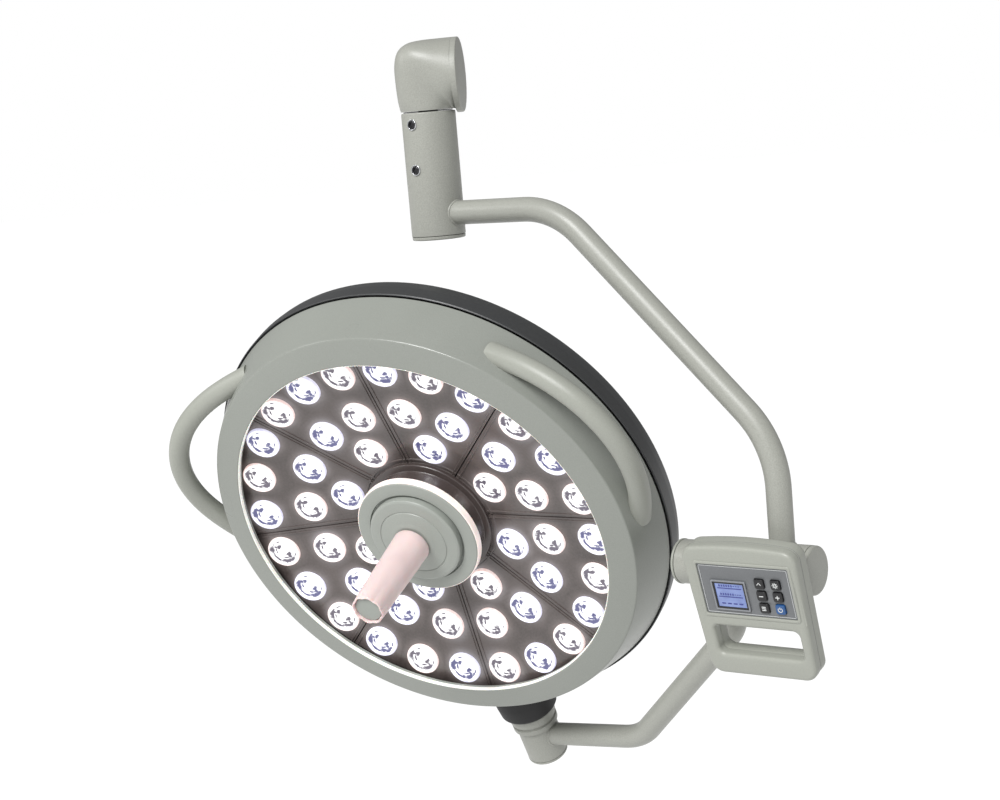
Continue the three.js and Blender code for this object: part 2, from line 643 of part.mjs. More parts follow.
function frontBezel() {
  const lip = [
    [OPENING_RADIUS + SHELL, BEZEL_FRONT + 8], [OPENING_RADIUS, BEZEL_FRONT + 8],
    [OPENING_RADIUS, BEZEL_FRONT + 1],
  ];
  return cut(turned([...BEZEL_OUTSIDE, ...BEZEL_INSIDE, ...lip], 48), stubHole());
}

function rearCover() {
  const inside = offsetProfile(COVER_OUTSIDE, -SHELL);
  const shell = turned([...COVER_OUTSIDE.slice().reverse(), ...inside], 48);
  return cut(shell, stubHole());
}

// Everything inside the casing's outer surface, grown a little, to trim what stands on it.
function headEnvelope() {
  const outside = [[0, BEZEL_FRONT], ...BEZEL_OUTSIDE, ...COVER_OUTSIDE];
  return turned(offsetProfile(outside, GAP + 0.1), 48);
}

function headBoot() {
  const end = BOOT_END + HEAD_RISE;
  const boot = turned([
    [17, 205], [33, 205], [33, end - 15], [32, end - 7], [30.5, end - 1], [29.5, end], [17, end],
  ], 28);
  return cut(alongPivot(boot), headEnvelope());
}

function headStub() {
  const end = SOCKET_END + HEAD_RISE - 4;
  return alongPivot(turned([
    [0, 239.5], [STUB_RADIUS + 1, 239.5], [STUB_RADIUS + 1, 242.5], [STUB_RADIUS, 242.5],
    [STUB_RADIUS, end], [0, end],
  ], 24));
}

// The bar's feet run into the bezel's wall and are trimmed flush with it.
function sideHandle(azimuth) {
  const path = new THREE.Curve();
  path.getPoint = (t, target = new THREE.Vector3()) => {
    const along = (2 * t - 1) * GRIP_BAR_OVERRUN;
    const rise = GRIP_BAR_HEIGHT * Math.cos((along * Math.PI) / 2);
    const radius = GRIP_BAR_FOOT.radius + rise * Math.cos(GRIP_BAR_LEAN);
    const angle = Math.PI / 2 + azimuth + along * GRIP_BAR_HALF_ANGLE;
    const z = GRIP_BAR_FOOT.z - rise * Math.sin(GRIP_BAR_LEAN);
    return target.set(radius * Math.cos(angle), radius * Math.sin(angle), z);
  };
  return cut(tube(path, GRIP_BAR_RADIUS, 0, 22), headEnvelope());
}

place(head, 'front_bezel', frontBezel(), BEZEL_PAINT);
place(head, 'rear_cover', rearCover(), COVER_PAINT);
place(head, 'head_frame', ring(226, 238.5, -12, 10, 40), ALUMINIUM);
place(head, 'head_boot', headBoot(), NYLON);
place(head, 'head_stub', headStub(), STEEL);
place(head, 'side_handle_left', sideHandle(GRIP_BAR_AZIMUTH), ARM_PAINT);
place(head, 'side_handle_right', sideHandle(-GRIP_BAR_AZIMUTH), ARM_PAINT);

// ---------------------------------------------------------------- optics and hub
const dishZ = (radius) => LED_PLANE + DISH_SLOPE * (LED_RINGS[0].radius - radius);

// One sector of the lens dish: a wedge plate with six lenses standing out of its front.
function lensPlate() {
  const [inner, outer, half] = [60, 206, Math.PI / SECTORS - 0.004];
  const wedge = new THREE.Shape();
  wedge.absarc(0, 0, outer, -half, half, false);
  wedge.absarc(0, 0, inner, half, -half, true);
  const plate = new THREE.ExtrudeGeometry(wedge, { depth: 10, bevelEnabled: false, curveSegments: 3 });
  const p = plate.getAttribute('position');
  for (let i = 0; i < p.count; i += 1) {
    p.setZ(i, p.getZ(i) + dishZ(Math.hypot(p.getX(i), p.getY(i))));
  }
  const lenses = LED_RINGS.flatMap(({ radius, offsets }) => offsets.map((offset) => {
    const lens = rod(LENS_RADIUS, -3, 6, 12).translate(0, 0, dishZ(radius));
    return lens.translate(radius * Math.cos(offset * DEG), radius * Math.sin(offset * DEG), 0);
  }));
  return join(plate, ...lenses);
}

for (let i = 0; i < SECTORS; i += 1) {
  const plate = place(head, `lens_plate_${i + 1}`, lensPlate(), LENS_PLASTIC);
  plate.rotation.z = ((i + 0.5) * 2 * Math.PI) / SECTORS;
}

// A comb of fins on a flat base.
function heatSink() {
  const [width, depth, fins, pitch] = [150, 110, 8, 20];
  const base = box(width, depth, 4, 0, 0, -11);
  const combs = [];
  for (let i = 0; i < fins; i += 1) {
    combs.push(box(3, depth, 14, (i - (fins - 1) / 2) * pitch, 0, -3.5));
  }
  return join(base, ...combs);
}

place(head, 'led_board', ring(30, 222, -17, -14, 40), ALUMINIUM);
place(head, 'heat_sink', heatSink(), ALUMINIUM);
place(head, 'led_driver', box(120, 70, 22, 0, 0, 15.8), BLACK_PLASTIC);
place(head, 'hub_column', ring(30, 58, -53, -17 - GAP, 28), BLACK_PLASTIC);

const HUB_FACE = LED_PLANE - 19;
function hubDisc() {
  return turned([
    [14, -53 - GAP], [HUB_DISC_RADIUS, -53 - GAP], [HUB_DISC_RADIUS + 0.7, HUB_FACE + 5],
    [HUB_DISC_RADIUS, HUB_FACE + 1], [HUB_DISC_RADIUS - 1, HUB_FACE], [14, HUB_FACE],
  ], 40);
}

function hubRing() {
  const back = HUB_FACE - GAP;
  return turned([
    [14, back], [48.6, back], [48.6, back - 4.5], [47, back - 6], [36, back - 7.5],
    [35.5, back - 9.5], [22, back - 11], [14, back - 11],
  ], 28);
}

// Steel post in the hub that the sterilisable handle locks on to.
function handlePost() {
  return turned([[0, -24], [13.6, -24], [13.6, -90], [11, -92], [11, -140], [0, -140]], 24);
}

function sterileHandle() {
  const base = HUB_FACE - 12.5;
  const tip = LED_PLANE - 134;
  return turned([
    [14, base], [18, base], [19, base - 2], [17.6, base - 50], [16.4, tip + 4], [15, tip],
    [0, tip + 2], [0, tip + 6], [11.6, tip + 6], [11.6, -93], [14, -91],
  ], 30);
}

place(head, 'hub_disc', hubDisc(), HUB_PLASTIC);
place(head, 'hub_ring', hubRing(), HUB_PLASTIC);
place(head, 'handle_post', handlePost(), STEEL);
place(head, 'sterile_handle', sterileHandle(), HANDLE_PLASTIC);

export default lamp;
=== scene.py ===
import json
import math

import bmesh
import bpy
from mathutils import Matrix, Vector


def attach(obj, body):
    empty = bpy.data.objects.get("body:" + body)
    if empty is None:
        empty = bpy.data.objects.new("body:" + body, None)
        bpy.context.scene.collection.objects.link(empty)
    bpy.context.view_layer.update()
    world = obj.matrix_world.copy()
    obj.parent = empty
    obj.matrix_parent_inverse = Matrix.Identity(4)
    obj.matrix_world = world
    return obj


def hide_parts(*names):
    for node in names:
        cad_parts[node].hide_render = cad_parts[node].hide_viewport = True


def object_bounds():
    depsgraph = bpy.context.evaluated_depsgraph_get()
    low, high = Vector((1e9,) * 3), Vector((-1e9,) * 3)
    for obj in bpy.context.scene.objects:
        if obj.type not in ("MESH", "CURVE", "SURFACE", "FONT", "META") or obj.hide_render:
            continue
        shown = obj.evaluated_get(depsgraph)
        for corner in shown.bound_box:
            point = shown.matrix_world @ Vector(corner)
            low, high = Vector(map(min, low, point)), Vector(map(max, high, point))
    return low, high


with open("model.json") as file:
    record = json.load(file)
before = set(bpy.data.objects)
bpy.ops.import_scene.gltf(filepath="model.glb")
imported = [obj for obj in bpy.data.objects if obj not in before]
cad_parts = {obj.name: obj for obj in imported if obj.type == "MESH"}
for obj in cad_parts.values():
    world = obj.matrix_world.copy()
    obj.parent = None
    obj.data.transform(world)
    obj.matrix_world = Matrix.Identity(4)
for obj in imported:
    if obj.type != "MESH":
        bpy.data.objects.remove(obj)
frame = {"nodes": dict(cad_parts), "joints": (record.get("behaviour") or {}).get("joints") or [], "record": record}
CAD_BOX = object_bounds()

MM = 0.001
TURN = 2 * math.pi


# ---------------------------------------------------------------- frames of the lamp's parts
def turned(angle, axis):
    return Matrix.Rotation(angle, 4, axis)


def shifted(x=0, y=0, z=0):
    return Matrix.Translation((x, y, z))


joints = {joint["name"]: joint for joint in frame["joints"]}
swivel = Vector(joints["swivel"]["pos_m"]) / MM
tilt_pivot = Vector(joints["yoke_tilt"]["pos_m"]) / MM
head_axis = joints["head_turn"]["axis"]
light_axis = joints["handle_twist"]["axis"]
press_axis = joints["key_up_press"]["axis"]
flange_axis = frame["record"]["mounts"][0]["axis"]

PIVOT_REACH = 340  # from the gimbal centre to the point that the tilt joint is stated at
HEAD_RISE = 57  # the head's centre above the gimbal centre
PANEL_X = 359
SWIVEL_OFFSET = 6.5  # the swivel beyond the gimbal centre

yoke_tilt = math.atan2(head_axis[1], -head_axis[2])
panel_tilt = math.atan2(press_axis[2], press_axis[1])
head_turn = math.asin(light_axis[0])
flange_yaw = math.atan2(flange_axis[1], flange_axis[0])

# they turn a shape's own Z along X, along Y, and out of the front
ALONG_X = turned(math.pi / 2, "Y")
ALONG_Y = turned(-math.pi / 2, "X")
FACING_FRONT = turned(math.pi / 2, "X")

SLEEVE = Matrix.Scale(MM, 4) @ shifted(swivel.x, swivel.y)
KNUCKLE = SLEEVE @ turned(flange_yaw, "Z")
UPPER = Matrix.Scale(MM, 4) @ shifted(tilt_pivot.x - PIVOT_REACH, tilt_pivot.y, tilt_pivot.z)
LOWER = UPPER @ turned(yoke_tilt, "X")
# x to the panel's right, y up it, z out of its front
PANEL = UPPER @ shifted(PANEL_X) @ turned(panel_tilt, "X") @ FACING_FRONT
# z out of the back of the head, y along the head pivot away from the gimbal
HEAD = LOWER @ shifted(0, 0, HEAD_RISE) @ turned(head_turn, "Z") @ turned(-math.pi / 2, "X")

# heights from the flange centre
GIMBAL_DROP = -tilt_pivot.z
SEAM_Z = -32.5
SLEEVE_BOTTOM = -156
STOP_SCREW_Z = -45.5
BRAKE_SCREW_Z = -90

# centre lines of the yokes' tubes from the gimbal centre: along a diagonal, the distances out and up
# (or down) add up to its number
UPPER_RUN_Z = 338.5
UPPER_LEG_X = 374
UPPER_DIAGONAL = 490
LOWER_RUN_DROP = 254
LOWER_BEND_DROP = 241
LOWER_LEG_X = 305
LOWER_DIAGONAL = 376

# outer radii of the round parts
FLANGE_RADIUS = 36.9
SLEEVE_RADIUS = 27
TUBE_RADIUS = 12
HOUSING_RADIUS = 23
HUB_RADIUS = 21
SOCKET_RADIUS = 22
SCREW_SEGMENTS = 48

# the head: each ring of LEDs has its radius and the angles, in degrees, of one sector's LEDs
LED_PLANE = -44
DISH_SLOPE = 0.128
SECTORS = 8
LENS_RADIUS = 17.5
LED_RINGS = ((184, (-15, 0, 15)), (132, (-11, 11)), (90, (0,)))
HUB_FACE = -63


# ---------------------------------------------------------------- shapes: (points, faces) in millimetres
def joined(*shapes):
    points, faces = [], []
    for shape_points, shape_faces in shapes:
        start = len(points)
        points.extend(shape_points)
        faces.extend(tuple(start + i for i in face) for face in shape_faces)
    return points, faces


def moved(shape, matrix):
    return [matrix @ Vector(p) for p in shape[0]], shape[1]


def rounded(corners, closed=True, step=math.radians(10)):
    """Corners are (x, y, radius). Gives the outline with each corner rounded to its radius."""
    outline = []
    for i, (x, y, radius) in enumerate(corners):
        at_end = not closed and i in (0, len(corners) - 1)
        if radius == 0 or at_end:
            outline.append((x, y))
            continue
        here = Vector((x, y))
        before = (Vector(corners[i - 1][:2]) - here).normalized()
        after = (Vector(corners[(i + 1) % len(corners)][:2]) - here).normalized()
        half = before.angle(after) / 2
        centre = here + (before + after).normalized() * radius / math.sin(half)
        arm = here + before * radius / math.tan(half) - centre
        sweep = math.pi - 2 * half
        side = 1 if before.cross(after) < 0 else -1
        steps = max(2, math.ceil(sweep / step))
        for k in range(steps + 1):
            a = side * sweep * k / steps
            outline.append((centre.x + arm.x * math.cos(a) - arm.y * math.sin(a),
                            centre.y + arm.x * math.sin(a) + arm.y * math.cos(a)))
    return outline


def skinned(rings, closed=False):
    """Faces between neighbouring rings of point numbers. A ring of one point is a pole."""
    faces = []
    count = max(len(ring) for ring in rings)
    following = rings[1:] + ([rings[0]] if closed else [])
    for low, high in zip(rings, following):
        for i in range(count):
            j = (i + 1) % count
            corners = (low[i % len(low)], low[j % len(low)], high[j % len(high)], high[i % len(high)])
            face = tuple(dict.fromkeys(corners))
            if len(face) > 2:
                faces.append(face)
    return faces


def lathe(profile, segments=96):
    """Turns an outline of (radius, z) round Z. It starts and ends on the axis, or closes on itself."""
    points, rings = [], []
    for radius, z in profile:
        on_axis = radius < 1e-6
        count = 1 if on_axis else segments
        rings.append(list(range(len(points), len(points) + count)))
        for i in range(count):
            a = TURN * i / segments
            points.append(Vector((radius * math.cos(a), radius * math.sin(a), z)))
    return points, skinned(rings, closed=profile[0][0] > 1e-6)


def barrel(inner, outer, low, high, low_corner, high_corner):
    """A ring round Z with its outer corners rounded, or a disc where the inner radius is 0."""
    return lathe(rounded([(inner, low, 0), (outer, low, low_corner), (outer, high, high_corner),
                          (inner, high, 0)]))


def sweep(path, radius, segments=40, closed=False, upright=None):
    """A round bar along points. Radius is a number, or a function of the way along from 0 to 1."""
    points, rings = [], []
    count = len(path)
    side = None
    for i, here in enumerate(path):
        ahead = path[(i + 1) % count] if closed or i < count - 1 else here
        behind = path[i - 1] if closed or i > 0 else here
        tangent = (ahead - behind).normalized()
        if upright is not None:
            side = tangent.cross(upright).normalized()
        elif side is None:
            side = tangent.orthogonal().normalized()
        else:
            side = (side - tangent * side.dot(tangent)).normalized()
        other = tangent.cross(side)
        r = radius(i / (count - 1)) if callable(radius) else radius
        rings.append(list(range(len(points), len(points) + segments)))
        for k in range(segments):
            a = TURN * k / segments
            points.append(here + side * (r * math.cos(a)) + other * (r * math.sin(a)))
    if not closed:
        rings = [[len(points)], *rings, [len(points) + 1]]
        points.extend([path[0].copy(), path[-1].copy()])
    return points, skinned(rings, closed)


def bent(corners):
    """A path in the XZ plane through corners (x, z, bend radius)."""
    return [Vector((x, 0, z)) for x, z in rounded(corners, closed=False, step=math.radians(3))]


def plate(outlines, back, front, rounding, steps):
    """A plate between two heights, its first outline the edge and the others its holes."""
    curve = bpy.data.curves.new("outline", "CURVE")
    curve.dimensions = "2D"
    curve.fill_mode = "BOTH"
    curve.extrude = (front - back) / 2 - rounding
    curve.bevel_depth = rounding
    curve.bevel_resolution = steps
    curve.offset = -rounding
    for outline in outlines:
        spline = curve.splines.new("POLY")
        spline.points.add(len(outline) - 1)
        for point, (x, y) in zip(spline.points, outline):
            point.co = (x, y, 0, 1)
        spline.use_cyclic_u = True
    holder = bpy.data.objects.new("outline", curve)
    bpy.context.scene.collection.objects.link(holder)
    evaluated = holder.evaluated_get(bpy.context.evaluated_depsgraph_get())
    mesh = evaluated.to_mesh()
    lift = Vector((0, 0, (front + back) / 2))
    shape = [v.co + lift for v in mesh.vertices], [tuple(f.vertices) for f in mesh.polygons]
    evaluated.to_mesh_clear()
    bpy.data.objects.remove(holder)
    bpy.data.curves.remove(curve)
    return shape


def rectangle(x, y, width, height, radius, crown=0, taper=0):
    """An upright rectangle with round corners, an arched top and drawn-in feet."""
    left, right, low, high = x - width / 2, x + width / 2, y - height / 2, y + height / 2
    arch = [(right + (left - right) * k / 8, high + crown * (1 - (k / 4 - 1) ** 2), 0)
            for k in range(1, 8)]
    top = [(right, high, radius), *(arch if crown else ()), (left, high, radius)]
    return rounded([*top, (left + taper, low, radius), (right - taper, low, radius)])


# ---------------------------------------------------------------- materials
def rgb(red, green, blue):
    """A display colour as a linear shader colour."""
    values = (c / 255 for c in (red, green, blue))
    return (*(v / 12.92 if v < 0.04 else ((v + 0.055) / 1.055) ** 2.4 for v in values), 1)


def scaled(colour, factor):
    return (*(min(1, c * factor) for c in colour[:3]), 1)


class Surface:
    """A material and its node tree. Inputs are given by socket name, as values or as outputs."""

    def __init__(self, name, **sockets):
        self.material = bpy.data.materials.new(name)
        self.material.use_nodes = True
        self.tree = self.material.node_tree
        self.shader = self.tree.nodes["Principled BSDF"]
        self.place = self.add("ShaderNodeTexCoord").outputs["Object"]
        self.feed(self.shader, sockets)

    def fill(self, socket, value):
        if isinstance(value, bpy.types.NodeSocket):
            self.tree.links.new(value, socket)
        else:
            socket.default_value = value

    def feed(self, node, sockets):
        for name, value in sockets.items():
            self.fill(node.inputs[name.replace("_", " ")], value)

    def add(self, kind, settings=None, **sockets):
        node = self.tree.nodes.new(kind)
        for name, value in (settings or {}).items():
            setattr(node, name, value)
        self.feed(node, sockets)
        return node

    def noise(self, scale, detail=2.0, stretch=None):
        where = self.place
        if stretch:
            where = self.add("ShaderNodeMapping", Vector=where, Scale=stretch).outputs["Vector"]
        return self.add("ShaderNodeTexNoise", Vector=where, Scale=scale, Detail=detail).outputs["Fac"]

    def span(self, value, low, high, start=0.3, end=0.7):
        """Spreads the part of a value's range from start to end over low to high."""
        node = self.add("ShaderNodeMapRange", Value=value, From_Min=start, From_Max=end, To_Min=low,
                        To_Max=high)
        return node.outputs["Result"]

    def maths(self, operation, *values):
        node = self.add("ShaderNodeMath", {"operation": operation})
        for socket, value in zip(node.inputs, values):
            self.fill(socket, value)
        return node.outputs[0]

    def mixed(self, factor, first, second):
        """One colour blended into another. The node's colour sockets are numbers 6 and 7, and 2 out."""
        node = self.add("ShaderNodeMix", {"data_type": "RGBA"})
        for number, value in ((0, factor), (6, first), (7, second)):
            self.fill(node.inputs[number], value)
        return node.outputs[2]

    def bump(self, height, depth, strength=1.0, over=None):
        node = self.add("ShaderNodeBump", Height=height, Distance=depth, Strength=strength)
        if over is not None:
            self.fill(node.inputs["Normal"], over)
        return node.outputs["Normal"]


def painted(name, colour, roughness, grain=0.00012, mottling=0.05, speckle=0.10, coat=0.0):
    """Powder coat or moulded plastic: fine grain, faint mottling, and a painted highlight that lightens convex
    edges a little.
    """
    surface = Surface(name, Coat_Weight=coat, Coat_Roughness=0.25)
    broad = surface.noise(9, 3)
    fine = surface.noise(700, 3)
    specks = surface.noise(900, 1)
    body = surface.mixed(surface.span(broad, 0, 1), scaled(colour, 1 - mottling),
                         scaled(colour, 1 + mottling))
    flecked = surface.mixed(surface.span(specks, 0, 1), scaled(colour, 1 - speckle),
                            scaled(colour, 1 + speckle))
    mixed = surface.mixed(0.5, body, flecked)
    # painted highlight: convex edges are blended towards a lighter copy of the colour
    edge = surface.add("ShaderNodeNewGeometry").outputs["Pointiness"]
    edge_highlight = surface.span(edge, 0, 0.22, 0.53, 0.62)
    surface.feed(surface.shader, {
        "Base Color": surface.mixed(edge_highlight, mixed, scaled(colour, 1.35)),
        "Roughness": surface.span(broad, roughness - 0.05, roughness + 0.07),
        "Normal": surface.bump(fine, grain, over=surface.bump(broad, 0.0006, 0.15)),
    })
    return surface.material


def machined(name, colour, roughness):
    """Turned or milled metal with fine tool lines."""
    surface = Surface(name, Metallic=1.0)
    lines = surface.noise(160, 4, (1, 1, 40))
    smudge = surface.noise(30, 3)
    surface.feed(surface.shader, {
        "Base Color": surface.mixed(surface.span(smudge, 0, 1), scaled(colour, 0.86), colour),
        "Roughness": surface.span(lines, roughness - 0.06, roughness + 0.12),
        "Normal": surface.bump(lines, 0.00004),
    })
    return surface.material


def smoked_plate(name):
    """The glossy smoked moulding between the lenses. It glows where their light leaks into it.

    The third value of the point attribute "mark" is how strong that glow is, from 0 to 1.
    """
    surface = Surface(name, Coat_Weight=0.4, Coat_Roughness=0.10)
    mark = surface.add("ShaderNodeAttribute", {"attribute_name": "mark"}).outputs["Vector"]
    glow = surface.add("ShaderNodeSeparateXYZ", Vector=mark).outputs["Z"]
    cloud = surface.noise(14, 4)
    fine = surface.noise(420, 3)
    tone = surface.mixed(surface.span(cloud, 0, 1), rgb(46, 40, 38), rgb(80, 71, 68))
    lit = surface.maths("MULTIPLY", glow, surface.span(cloud, 0.06, 0.34))
    surface.feed(surface.shader, {
        "Base Color": surface.mixed(surface.span(fine, 0, 0.3), tone, rgb(96, 88, 86)),
        "Emission Color": surface.mixed(surface.span(cloud, 0, 1), rgb(236, 214, 204), rgb(214, 214, 222)),
        "Emission Strength": lit,
        "Roughness": surface.span(cloud, 0.26, 0.42),
        "Normal": surface.bump(fine, 0.00006),
    })
    return surface.material


def lit_lens(name):
    """A lit collimator lens: white, with the smoky reflections of its inner cone and a tinted fringe.

    The point attribute "mark" holds the place across the lens, in lens radii, and the LED's tint.
    """
    surface = Surface(name, Roughness=0.15, Coat_Weight=0.3, Coat_Roughness=0.05)
    mark = surface.add("ShaderNodeAttribute", {"attribute_name": "mark"}).outputs["Vector"]
    across = surface.add("ShaderNodeSeparateXYZ", Vector=mark).outputs
    ripple = surface.noise(260, 3)

    def streak(angle, reach, long, wide, hook):
        """How far into an oval reflection, bowed round the lens, a point is. The angle is in degrees."""
        a = math.radians(angle)
        radial = surface.maths("MULTIPLY_ADD", across["X"], math.cos(a), surface.maths(
            "MULTIPLY_ADD", across["Y"], math.sin(a), -reach))
        sideways = surface.maths("SUBTRACT", surface.maths("MULTIPLY", across["Y"], math.cos(a)),
                                 surface.maths("MULTIPLY", across["X"], math.sin(a)))
        squared = surface.maths("MULTIPLY", sideways, sideways)
        bowed = surface.maths("DIVIDE", surface.maths("MULTIPLY_ADD", squared, hook, radial), wide)
        oval = surface.maths("MULTIPLY_ADD", squared, 1 / long ** 2,
                             surface.maths("MULTIPLY", bowed, bowed))
        broken = surface.maths("MULTIPLY_ADD", ripple, 3.0, surface.maths("SUBTRACT", oval, 1.5))
        return surface.span(broken, 1, 0, 0.4, 1.5)

    streaks = [streak(*sizes) for sizes in LENS_STREAKS]
    dark = streaks[0]
    for other in streaks[1:]:
        dark = surface.maths("MAXIMUM", dark, other)
    span_squared = surface.maths("MULTIPLY_ADD", across["X"], across["X"],
                                 surface.maths("MULTIPLY", across["Y"], across["Y"]))
    rim = surface.span(span_squared, 0, 1, 0.72, 0.90)
    # a thin dark line, broken by the ripple, runs round inside the rim
    from_line = surface.maths("ABSOLUTE", surface.maths("SUBTRACT", span_squared, 0.80))
    dark = surface.maths("MAXIMUM", dark, surface.maths(
        "MULTIPLY", surface.span(from_line, 0.62, 0, 0, 0.06), surface.span(ripple, 0, 1, 0.42, 0.62)))
    fringe_tint = surface.mixed(across["Z"], rgb(238, 192, 184), rgb(204, 202, 244))
    smoke = surface.mixed(across["Z"], rgb(96, 88, 98), rgb(84, 86, 136))
    tinted = surface.maths("MULTIPLY", rim, surface.span(ripple, 0.4, 1))
    glow = surface.mixed(tinted, (1, 1, 1, 1), fringe_tint)
    surface.feed(surface.shader, {
        "Base Color": surface.mixed(dark, (0.5, 0.5, 0.5, 1), rgb(60, 58, 70)),
        "Emission Color": surface.mixed(dark, glow, smoke),
        "Emission Strength": surface.maths("SUBTRACT", 1.3, surface.maths(
            "MAXIMUM", surface.maths("MULTIPLY", dark, 0.4), surface.maths("MULTIPLY", rim, 0.5))),
    })
    return surface.material


def glowing_plastic(name, colour, strength, streaks=(1, 1, 1)):
    """Pale plastic that passes some of the LEDs' light on."""
    surface = Surface(name, Subsurface_Weight=0.25, Subsurface_Scale=0.006, Coat_Weight=0.2)
    cloud = surface.noise(28, 3, streaks)
    fine = surface.noise(500, 2)
    tone = surface.mixed(surface.span(cloud, 0, 1), scaled(colour, 0.86), colour)
    surface.feed(surface.shader, {
        "Base Color": tone, "Emission Color": tone, "Emission Strength": strength,
        "Roughness": surface.span(cloud, 0.34, 0.46), "Normal": surface.bump(fine, 0.00005),
    })
    return surface.material


def screen_glass(name):
    """A backlit liquid crystal pane with a patchy glow, under fine pixel rows."""
    surface = Surface(name, Roughness=0.12, Coat_Weight=1.0, Coat_Roughness=0.03)
    cloud = surface.noise(60, 2)
    rows = surface.noise(900, 1, (0.05, 1, 1))
    tone = surface.mixed(surface.span(cloud, 0, 1), rgb(80, 96, 146), rgb(112, 128, 174))
    shade = surface.mixed(surface.span(rows, 0, 0.3), tone, rgb(66, 80, 130))
    surface.feed(surface.shader, {"Base Color": shade, "Emission Color": shade, "Emission Strength": 0.35})
    return surface.material


# angle, distance from the centre, half length, half width and bow of each reflection in a lens, in radii
LENS_STREAKS = (
    (200, 0.74, 0.44, 0.13, 0.7), (80, 0.68, 0.48, 0.14, 0.7), (140, 0.74, 0.50, 0.07, 0.7),
    (232, 0.42, 0.19, 0.13, 0.9), (44, 0.33, 0.20, 0.14, 0.9), (186, 0.50, 0.20, 0.06, 0.7),
    (96, 0.47, 0.22, 0.06, 0.7), (216, 0.58, 0.10, 0.15, 0.4), (60, 0.50, 0.12, 0.16, 0.4),
    (262, 0.70, 0.18, 0.05, 0.7), (24, 0.70, 0.16, 0.05, 0.7),
)

ARM_GREY = rgb(144, 145, 138)
ARM_PAINT = painted("arm_powder_coat", ARM_GREY, 0.38, speckle=0.16)
BEZEL_PAINT = painted("bezel_satin_paint", rgb(132, 135, 129), 0.32, grain=0.00010, speckle=0.07)
COVER_PAINT = painted("cover_charcoal_paint", rgb(48, 49, 50), 0.42, speckle=0.16)
PANEL_PLASTIC = painted("panel_moulded_plastic", rgb(144, 146, 138), 0.42, speckle=0.08)
LABEL_FILM = painted("label_silver_film", rgb(98, 100, 102), 0.34, grain=0.00003, mottling=0.03,
                     speckle=0.09)
SILVER_TRIM = painted("display_silver_trim", rgb(118, 120, 124), 0.28, grain=0.00003, coat=0.3)
KEY_PLASTIC = painted("key_black_plastic", rgb(20, 20, 22), 0.42, grain=0.00006, speckle=0.2)
POWER_PLASTIC = painted("key_blue_plastic", rgb(20, 70, 122), 0.34, grain=0.00004, coat=0.3)
SYMBOL_INK = painted("symbol_pale_ink", rgb(196, 198, 197), 0.5, grain=0.00003)
BOOT_RUBBER = painted("boot_black_rubber", rgb(15, 15, 16), 0.62, grain=0.00018, speckle=0.3)
SEAM_BLACK = painted("washer_black_nylon", rgb(14, 14, 15), 0.6)
HUB_PLASTIC = painted("hub_grey_green_plastic", rgb(142, 146, 140), 0.38, grain=0.00005, speckle=0.05)
COLUMN_PLASTIC = painted("hub_smoked_column", rgb(66, 58, 56), 0.25, grain=0.00003, coat=0.4)
BOARD_MASK = painted("board_solder_mask", rgb(28, 92, 60), 0.45)
CHROME = machined("screw_chrome", (0.72, 0.73, 0.75, 1), 0.16)
DARK_STEEL = machined("screw_dark_steel", (0.07, 0.07, 0.075, 1), 0.24)
STEEL = machined("turned_steel", (0.62, 0.63, 0.65, 1), 0.30)
BRONZE = machined("sintered_bronze", (0.55, 0.38, 0.18, 1), 0.42)
ALUMINIUM = machined("milled_aluminium", (0.72, 0.74, 0.76, 1), 0.36)
LENS_PLATE = smoked_plate("smoked_lens_plate")
LENS_LIT = lit_lens("lit_collimator_lens")
HANDLE_PLASTIC = glowing_plastic("handle_pink_white_plastic", rgb(212, 192, 190), 0.10, (1, 1, 0.15))
RIM_LIGHT = glowing_plastic("hub_rim_light_guide", rgb(238, 222, 216), 0.30)
LIT_LIP = glowing_plastic("bezel_lip_in_led_light", rgb(236, 230, 222), 0.25)
SCREEN = screen_glass("display_backlit_glass")
SCREEN_INK = painted("display_bar_ink", rgb(48, 54, 120), 0.4, grain=0.00002)

SLOT_LOOKS = {
    "arm_paint": ARM_PAINT, "bezel_paint": BEZEL_PAINT, "cover_paint": COVER_PAINT,
    "panel_plastic": PANEL_PLASTIC, "label_film": LABEL_FILM, "black_plastic": KEY_PLASTIC,
    "blue_plastic": POWER_PLASTIC, "screen": SCREEN, "lens_plastic": LENS_PLATE,
    "hub_plastic": HUB_PLASTIC, "handle_plastic": HANDLE_PLASTIC, "board": BOARD_MASK,
    "steel": STEEL, "bronze": BRONZE, "aluminium": ALUMINIUM, "nylon": SEAM_BLACK,
}
SLOTS = {part["node"]: part["material_slot"] for part in frame["record"]["subparts"]}
for node_name, node in frame["nodes"].items():
    node.data.materials.clear()
    node.data.materials.append(SLOT_LOOKS[SLOTS[node_name]])


# ---------------------------------------------------------------- pieces
def piece(name, shape, place, body, material, stands_for=(), sharp=32, marks=None):
    """Adds a mesh to a body. It takes the place of the CAD nodes that it stands for. Edges that bend
    by more than `sharp` degrees stay crisp."""
    mesh = bpy.data.meshes.new(name)
    mesh.from_pydata([place @ Vector(p) for p in shape[0]], [], shape[1])
    if marks:
        layer = mesh.attributes.new("mark", "FLOAT_VECTOR", "POINT")
        layer.data.foreach_set("vector", [value for mark in marks for value in mark])
    work = bmesh.new()
    work.from_mesh(mesh)
    bmesh.ops.remove_doubles(work, verts=work.verts, dist=1e-6)
    bmesh.ops.recalc_face_normals(work, faces=work.faces)
    work.to_mesh(mesh)
    work.free()
    mesh.shade_smooth()
    mesh.set_sharp_from_angle(angle=math.radians(sharp))
    mesh.materials.append(material)
    thing = bpy.data.objects.new(name, mesh)
    bpy.context.scene.collection.objects.link(thing)
    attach(thing, body)
    nodes = [stands_for] if isinstance(stands_for, str) else list(stands_for)
    if nodes:
        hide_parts(*nodes)


